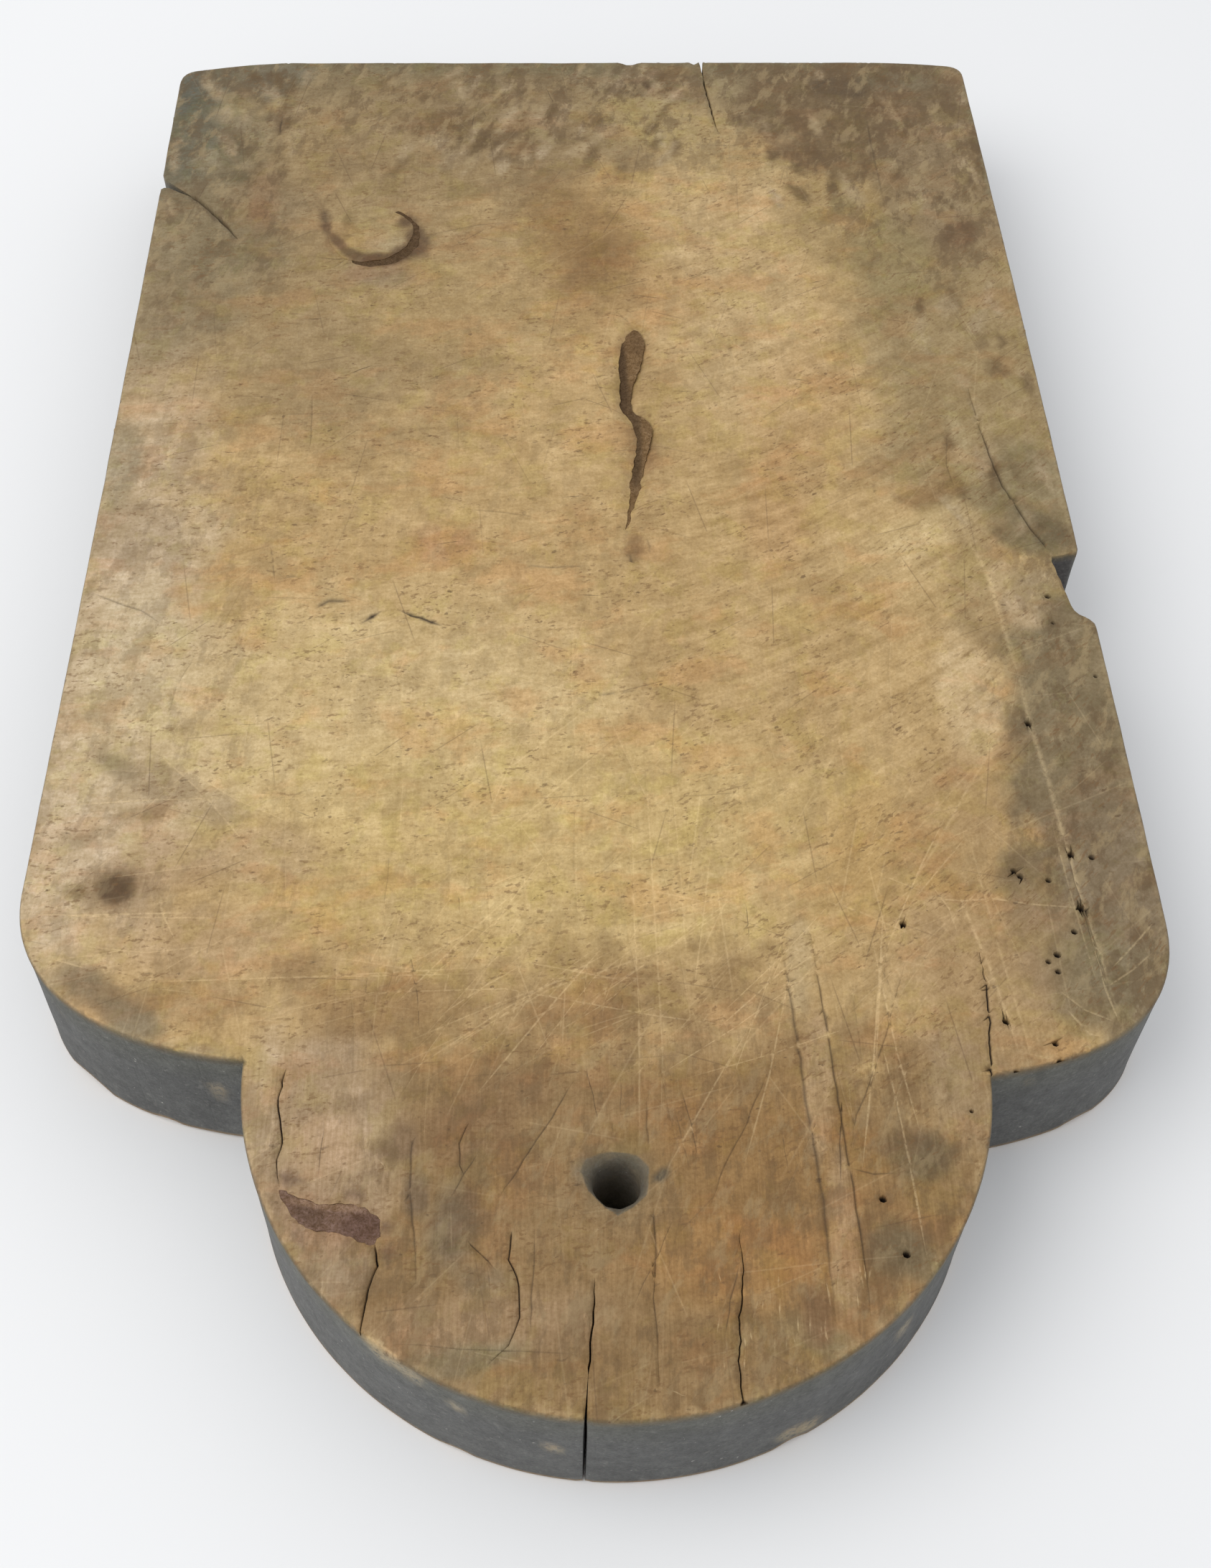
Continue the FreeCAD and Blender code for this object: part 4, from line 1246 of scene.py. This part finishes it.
class Finish:
    """A material under construction, with short ways to add its nodes."""

    def __init__(self, name):
        self.material = bpy.data.materials.new(name)
        self.material.use_nodes = True
        self.tree = self.material.node_tree
        self.shader = self.tree.nodes["Principled BSDF"]
        place = self.node("TexCoord", {}, "Object")
        self.place = self.node("VectorMath", {0: place, "Scale": 1 / MM}, operation="SCALE")

    def put(self, value, socket):
        if isinstance(value, (int, float, tuple)):
            socket.default_value = value
        else:
            self.tree.links.new(value, socket)

    def node(self, kind, inputs, output=0, **settings):
        """What a new node gives for its inputs, or all its outputs where output is None."""
        made = self.tree.nodes.new("ShaderNode" + kind)
        for name, setting in settings.items():
            setattr(made, name, setting)
        for socket, value in inputs.items():
            self.put(value, made.inputs[socket])
        return made.outputs if output is None else made.outputs[output]

    def maths(self, operation, first, second=0.0):
        return self.node("Math", {0: first, 1: second}, operation=operation)

    def times(self, first, second):
        return self.maths("MULTIPLY", first, second)

    def plus(self, first, second):
        return self.maths("ADD", first, second)

    def parts(self, kind, value):
        """The three numbers of a colour or of a place."""
        return self.node("Separate" + kind, {0: value}, None)

    def value(self, name, output="Fac"):
        return self.node("Attribute", {}, output, attribute_name=name)

    def between(self, value, low, high, to_low=0.0, to_high=1.0):
        inputs = dict(enumerate((value, low, high, to_low, to_high)))
        return self.node("MapRange", inputs, "Result", interpolation_type="SMOOTHSTEP")

    def mix(self, share, first, second, blend="MIX"):
        inputs = {"Factor": share, 6: first, 7: second}
        return self.node("Mix", inputs, 2, data_type="RGBA", blend_type=blend)

    def vary(self, colour, value, amount, share=1.0, tint=(0.85, 1.0, 1.37)):
        """The colour made lighter and darker by noise, by up to half the amount, in that share of
        the face. Wood loses more blue than red as it darkens, and tint holds how much of each."""
        change = self.times(self.maths("SUBTRACT", value, 0.5), self.times(share, amount))
        gain = self.node("VectorMath", {0: change, 1: tint, 2: (1.0, 1.0, 1.0)}, operation="MULTIPLY_ADD")
        return self.mix(1.0, colour, gain, "MULTIPLY")

    def spread(self, size, degrees=0.0, stretch=1.0, seed=0.0, place=None):
        """The place counted in features of a size, drawn out that many times along a direction."""
        inputs = {"Location": (17.3 * seed, 31.7 * seed, 5.1 * seed),
                  "Rotation": (0, 0, math.radians(degrees)),
                  "Scale": (size * stretch, size, size), "Vector": place or self.place}
        return self.node("Mapping", inputs, "Vector", vector_type="TEXTURE")

    def noise(self, size, detail=3.0, rough=0.55, degrees=0.0, stretch=1.0, seed=0.0, warp=0.0, place=None):
        inputs = {"Vector": self.spread(size, degrees, stretch, seed, place), "Scale": 1.0, "Detail": detail,
                  "Roughness": rough, "Distortion": warp}
        return self.node("TexNoise", inputs, "Fac")

    def bumps(self, height, distance):
        return self.node("Bump", {"Distance": distance * MM, "Strength": 1.0, "Height": height}, "Normal")

    def scratches(self, cell, width, lean, spread, shown, seed):
        """Thin straight marks, one to a cell in the share of cells shown, leaning about lean degrees."""
        grid = self.spread(cell, seed=seed)
        cells = self.node("TexVoronoi", {"Scale": 1.0, "Vector": grid}, None, voronoi_dimensions="2D")
        first, second, third = self.parts("Color", cells["Color"])
        from_middle = self.node("VectorMath", {0: grid, 1: cells["Position"]}, operation="SUBTRACT")
        angle = self.times(self.maths("SUBTRACT", first, 0.5), -math.radians(spread))
        angle = self.maths("SUBTRACT", angle, math.radians(lean))
        turned = self.node("VectorRotate", {"Vector": from_middle, "Angle": angle}, rotation_type="Z_AXIS")
        along, across, _ = self.parts("XYZ", turned)
        line = self.between(self.maths("ABSOLUTE", across), 0.0, width / cell, 1.0, 0.0)
        ends = self.between(self.maths("ABSOLUTE", along), 0.25, 0.5, 1.0, 0.0)
        strength = self.between(third, 0.0, 1.0, 0.35, 1.0)
        strength = self.times(self.maths("LESS_THAN", second, shown), strength)
        return self.times(self.times(line, ends), strength)

    def all_scratches(self, kinds):
        """The strongest of several kinds of scratches at each place."""
        result = self.scratches(*kinds[0])
        for kind in kinds[1:]:
            result = self.maths("MAXIMUM", result, self.scratches(*kind))
        return result


def shade(red, green, blue):
    return tuple(float(v) for v in linear((red, green, blue))) + (1.0,)


def old_wood(name):
    """Bare wood, oiled, dried and cut on for years, as its tone and wear attributes paint it."""
    wood = Finish(name)
    tone = wood.value("tone", "Color")
    grime, scratched, slanted = wood.parts("Color", wood.value("wear", "Color"))
    side = wood.value("on_side")
    # flow is the place with the figure of the wood, which climbs to the right, laid level.
    x, y, _ = wood.parts("XYZ", wood.place)
    to_right = wood.maths("MAXIMUM", x, 0.0)
    rise = wood.plus(wood.times(wood.times(to_right, to_right), 0.0035), wood.times(x, 0.10))
    flow = wood.node("CombineXYZ", {0: x, 1: wood.maths("SUBTRACT", y, rise), 2: 0.0})
    near_end = wood.between(y, -165, -110, 1.0, 0.0)
    fine = wood.noise(0.8, 4, 0.65)
    mottle = wood.noise(4.0, 6, 0.66, warp=0.15)
    grain = wood.noise(0.7, 4, 0.6, 90, 14)
    streaks = wood.noise(1.5, 4, 0.62, 0, 4, seed=1, place=flow)
    wide = wood.noise(24, 4, 0.6, warp=0.3)
    banded = wood.noise(8, 5, 0.62, 0, 2.0, seed=13, place=flow)
    scored = wood.noise(3.2, 4, 0.6, 0, 6, seed=3, place=flow)
    colour = tone
    for value, amount, share in (
        (wide, 0.30, 1.0), (banded, 0.55, 1.0), (mottle, 0.90, 1.0), (fine, 0.74, 1.0),
        (grain, wood.between(near_end, 0.0, 1.0, 0.20, 0.80), 1.0),
        (streaks, wood.between(near_end, 0.0, 1.0, 0.50, 0.20), 1.0), (scored, 0.75, slanted),
    ):
        colour = wood.vary(colour, value, amount, share)
    rusty = wood.between(wood.noise(11, 5, 0.62, 8, 1.6, seed=2, warp=0.3), 0.50, 0.64)
    olive = wood.between(wood.noise(9, 5, 0.62, seed=5, warp=0.3), 0.50, 0.64)
    for where, gain in ((rusty, (1.02, 0.93, 0.88, 1)), (olive, (0.97, 0.99, 0.86, 1))):
        colour = wood.mix(where, colour, wood.mix(1.0, colour, gain, "MULTIPLY"))
    blot = wood.between(wood.noise(5.5, 6, 0.66, 82, 1.8, seed=7, warp=0.1), 0.49, 0.59)
    bare = wood.between(wood.noise(4.5, 6, 0.66, 68, 2.2, seed=9, warp=0.1), 0.51, 0.64)
    clusters = wood.between(wood.noise(15, 3, 0.6, seed=8), 0.42, 0.60, 0.25, 1.0)
    specks = wood.between(wood.noise(1.0, 3, 0.55, 0, 1.9, seed=4, place=flow), 0.56, 0.67)
    pits = wood.between(wood.noise(1.6, 3, 0.5, 15, 1.6, seed=6), 0.66, 0.72)
    for where, strength, paint in (
        (blot, wood.times(grime, 0.56), shade(98, 76, 48)),
        (bare, wood.times(grime, 0.42), shade(172, 150, 110)),
        (specks, wood.times(clusters, 0.56), shade(116, 84, 48)),
        (pits, wood.times(clusters, 0.6), shade(88, 64, 38)),
    ):
        colour = wood.mix(wood.times(where, strength), colour, paint)
    # Scratches: (cell, width, lean, spread of the lean, share of cells with one, seed).
    pale = wood.all_scratches([(46, 0.40, 50, 60, 1.0, 1), (38, 0.36, 62, 90, 1.0, 2),
                               (27, 0.34, 100, 170, 0.8, 3), (19, 0.30, 30, 120, 0.8, 4),
                               (33, 0.34, 4, 30, 0.7, 5)])
    dark = wood.all_scratches([(26, 0.28, 88, 50, 0.5, 11), (17, 0.26, 10, 80, 0.5, 12)])
    much = wood.plus(wood.times(scratched, 0.34), 0.07)
    lighter = wood.mix(1.0, colour, (1.45, 1.42, 1.36, 1), "MULTIPLY")
    colour = wood.mix(wood.times(pale, much), colour, wood.mix(0.35, lighter, shade(226, 206, 166)))
    colour = wood.mix(wood.times(dark, 0.40), colour, shade(92, 68, 44))
    plain = (1.0, 1.0, 1.0)
    wall = wood.vary(tone, wood.noise(3.5, 6, 0.7), 1.0, tint=plain)
    wall = wood.vary(wall, wood.noise(0.7, 4, 0.7, seed=14), 1.2, tint=plain)
    dust = wood.between(wood.noise(2.2, 5, 0.65, seed=15), 0.55, 0.75)
    wall = wood.mix(wood.times(dust, 0.4), wall, shade(136, 134, 128))
    scuff = wood.between(wood.noise(1.4, 4, 0.6, seed=10), 0.68, 0.74)
    wall = wood.mix(wood.times(scuff, 0.8), wall, shade(178, 175, 168))
    colour = wood.mix(side, colour, wall)
    crease = wood.value("crease")
    patchy = wood.between(wood.noise(1.3, 4, 0.65, seed=16), 0.30, 0.56)
    scar = wood.times(wood.between(wood.value("scar"), 0.0, 0.6), patchy)
    colour = wood.mix(wood.times(scar, 0.7), colour, wood.mix(0.4, lighter, shade(222, 200, 158)))
    # Painted shade: the splits, creases and beetle holes are darkened towards near black as far as their
    # crease value says; in the shallow creases this is dirt as well.
    colour = wood.mix(wood.between(crease, 0.0, 0.7), colour, shade(46, 33, 22))
    wood.put(colour, wood.shader.inputs["Base Color"])
    roughness = wood.between(mottle, 0.3, 0.7, 0.56, 0.74)
    wood.put(wood.plus(roughness, wood.times(side, 0.08)), wood.shader.inputs["Roughness"])
    wood.shader.inputs["Specular IOR Level"].default_value = 0.35
    relief = wood.plus(wood.plus(wood.times(grain, 0.4), fine), wood.times(streaks, 0.4))
    relief = wood.maths("SUBTRACT", relief, wood.times(wood.plus(pale, dark), 0.25))
    wood.put(wood.bumps(relief, 0.16), wood.shader.inputs["Normal"])
    return wood.material


wood_finish = old_wood("old bare wood")
marks_tree = carving_tree("cuts and cracks", "EDGES", 1.0)
holes_tree = carving_tree("beetle holes", "POINTS", 0.14)
carve(plank, marks_tree, mark_guide, 1.0, wood_finish)
carve(plank, holes_tree, hole_guide, 1.0, wood_finish)
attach(plank, "root")
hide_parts("board")


# The knot
# The dead branch that the plank was sawn through. Its wood is its own, denser than the
# plank's, with rings round its heart, and it is held only by the bark and the hole it fills.
def plug(name, loop, bottom, top_of, gap, seed):
    """A closed solid with a fine uneven top, straight walls and a flat bottom."""
    lows = np.array([(p.x, p.y) for p in loop]).min(0)
    highs = np.array([(p.x, p.y) for p in loop]).max(0)
    grains = ground((lows[0], highs[0]), (lows[1], highs[1]), gap, seed)
    grains = [p for p, is_in in zip(grains, inside(grains, loop)) if is_in]
    flat, triangles, (edge,) = triangulated([loop], [], clear_of(grains, [loop], gap * 0.5), [])
    points = [(x, y, top_of(x, y)) for x, y in flat]
    polygons = [tuple(int(i) for i in face) for face in triangles]
    base = [len(points) + i for i in range(len(loop))]
    points += [(p.x, p.y, bottom) for p in loop]
    for i in range(len(loop)):
        k = (i + 1) % len(loop)
        polygons.append((edge[i], base[i], base[k], edge[k]))
    polygons.append(tuple(base[::-1]))
    return new_piece(name, points, polygons)


def plan_of(piece):
    """Where the piece's vertices lie, seen from above."""
    return np.array([(v.co.x / MM, v.co.y / MM) for v in piece.data.vertices])


def knot_top(x, y):
    away = math.hypot(x - knot_middle.x, y - knot_middle.y)
    rings = 0.05 * math.sin(away * 2.6) + 0.15 * noise.noise((x / 4, y / 4, 3.0))
    return face_height(np.array([(x, y)]))[0] + 0.02 - 0.4 * rings


knot_loop = round_loop(knot_middle, lambda turn: knot_edge(turn) - 0.01, 90)
knot_floor = thickness - knot_depth + floor_gap
knot = plug("knot", knot_loop, knot_floor, knot_top, 0.9, 31)
knot_flat = plan_of(knot)
knot_stains = [
    (-56, 129, 8, 5, 0, (166, 147, 112), 0.6, 0.7),
    (-69.4, 140.8, 1.8, 4.0, 0, (138, 116, 72), 0.65, 0.8),
    (-62.0, 140.4, 1.7, 1.6, 0, (143, 121, 76), 0.55, 0.8),
    (-52.8, 139.4, 2.4, 2.8, 0, (122, 98, 66), 0.75, 0.8),
]
give_colours(knot.data, "tone", linear(painted(knot_flat, (166, 142, 98), knot_stains + bark_stains, 60.0)))
give_colours(knot.data, "wear", np.tile(np.array((90, 40, 20)) / 255, (len(knot_flat), 1)))
knot.data.materials.append(old_wood("knot wood"))
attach(knot, "root")
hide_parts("knot")


# The bark round the knot
# A crescent of the dead branch's own bark, caught on the near and right sides of the knot.
# It is dark and crumbling, and has shrunk a little below the face.
bark = Finish("bark")
flakes = bark.noise(1.5, 5, 0.65, warp=0.8)
bits = bark.noise(0.5, 3, 0.6)
colour = bark.vary(bark.vary(bark.value("tone", "Color"), flakes, 2.0), bits, 1.6)
bark.put(colour, bark.shader.inputs["Base Color"])
bark.shader.inputs["Roughness"].default_value = 0.85
bark.shader.inputs["Specular IOR Level"].default_value = 0.25
bark.put(bark.bumps(bark.maths("ADD", flakes, bits), 0.5), bark.shader.inputs["Normal"])


def stain_bark(piece, colour, patches):
    give_colours(piece.data, "tone", linear(painted(plan_of(piece), colour, patches, 70.0)))
    piece.data.materials.append(bark.material)


def rough(x, y, size, amount, seed):
    return amount * noise.fractal((x / size, y / size, seed), 0.8, 2.0, 4)


turns = [2 * math.pi * step / 240 for step in range(240)]
covered = [turn for turn in turns if has_bark(turn)]
gap_turn = max(range(len(covered)), key=lambda i: (covered[i] - covered[i - 1]) % (2 * math.pi))
covered = covered[gap_turn:] + covered[:gap_turn]
outer = [knot_middle + heading(t) * (knot_bark_edge(t) + fit) for t in covered]
inner = [knot_middle + heading(t) * (knot_edge(t) + fit) for t in reversed(covered)]
knot_bark = plug("knot_bark", outer + inner, knot_floor,
                 lambda x, y: face_height(np.array([(x, y)]))[0] - 0.12 + rough(x, y, 1.6, 0.2, 2.0), 0.6, 32)
stain_bark(knot_bark, (90, 68, 43), [(-72, 132, 8, 10, 0, (114, 90, 60), 0.8, 0.6)])
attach(knot_bark, "root")
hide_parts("knot_bark")


# The bark in the handle
# A flat pocket of bark that the growing wood closed over, laid open by the sawing.
handle_bark = plug("handle_bark", inset(handle_pocket, 0.03), thickness - handle_depth + floor_gap,
                   lambda x, y: thickness - 0.5 + rough(x, y, 1.7, 0.4, 5.0), 0.5, 33)
stain_bark(handle_bark, (124, 97, 80), [(-49, -180, 5, 3.4, 0, (104, 78, 64), 0.8, 0.6),
                                        (-60, -177, 4, 2.4, -30, (108, 84, 68), 0.7, 0.6),
                                        (-56, -175.0, 9, 1.3, -8, (146, 116, 90), 0.8, 0.6)])
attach(handle_bark, "root")
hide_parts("handle_bark")


# The bark in the seam
# What is left of the pith and bark at the bottom of the long open seam. It lies deepest along
# the seam's left side and rises to the right.
def seam_top(x, y):
    left = 10.2 if y > 60 else 11.2 + 2.6 * math.sin(held((y - 16) / 44) * math.pi)
    climb = held((x - left) / 4.0)
    return thickness - 1.8 + 1.25 * climb + rough(x, y, 3.0, 0.25, 7.0)


seam_floor = thickness - seam_depth + floor_gap
seam_bark = plug("seam_bark", inset(seam_pocket, 0.03), seam_floor, seam_top, 0.8, 34)
# The darker strips along the seam's deep left side are painted shade, laid on the bark's own brown.
stain_bark(seam_bark, (128, 100, 66), [(10.2, 74, 2.4, 24, 0, (80, 60, 38), 0.9, 0.6),
                                       (13.6, 48, 2.2, 20, 0, (84, 64, 41), 0.8, 0.6),
                                       (14.5, 87, 3.6, 6, 0, (108, 82, 52), 0.6, 0.6)])
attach(seam_bark, "root")
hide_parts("seam_bark")
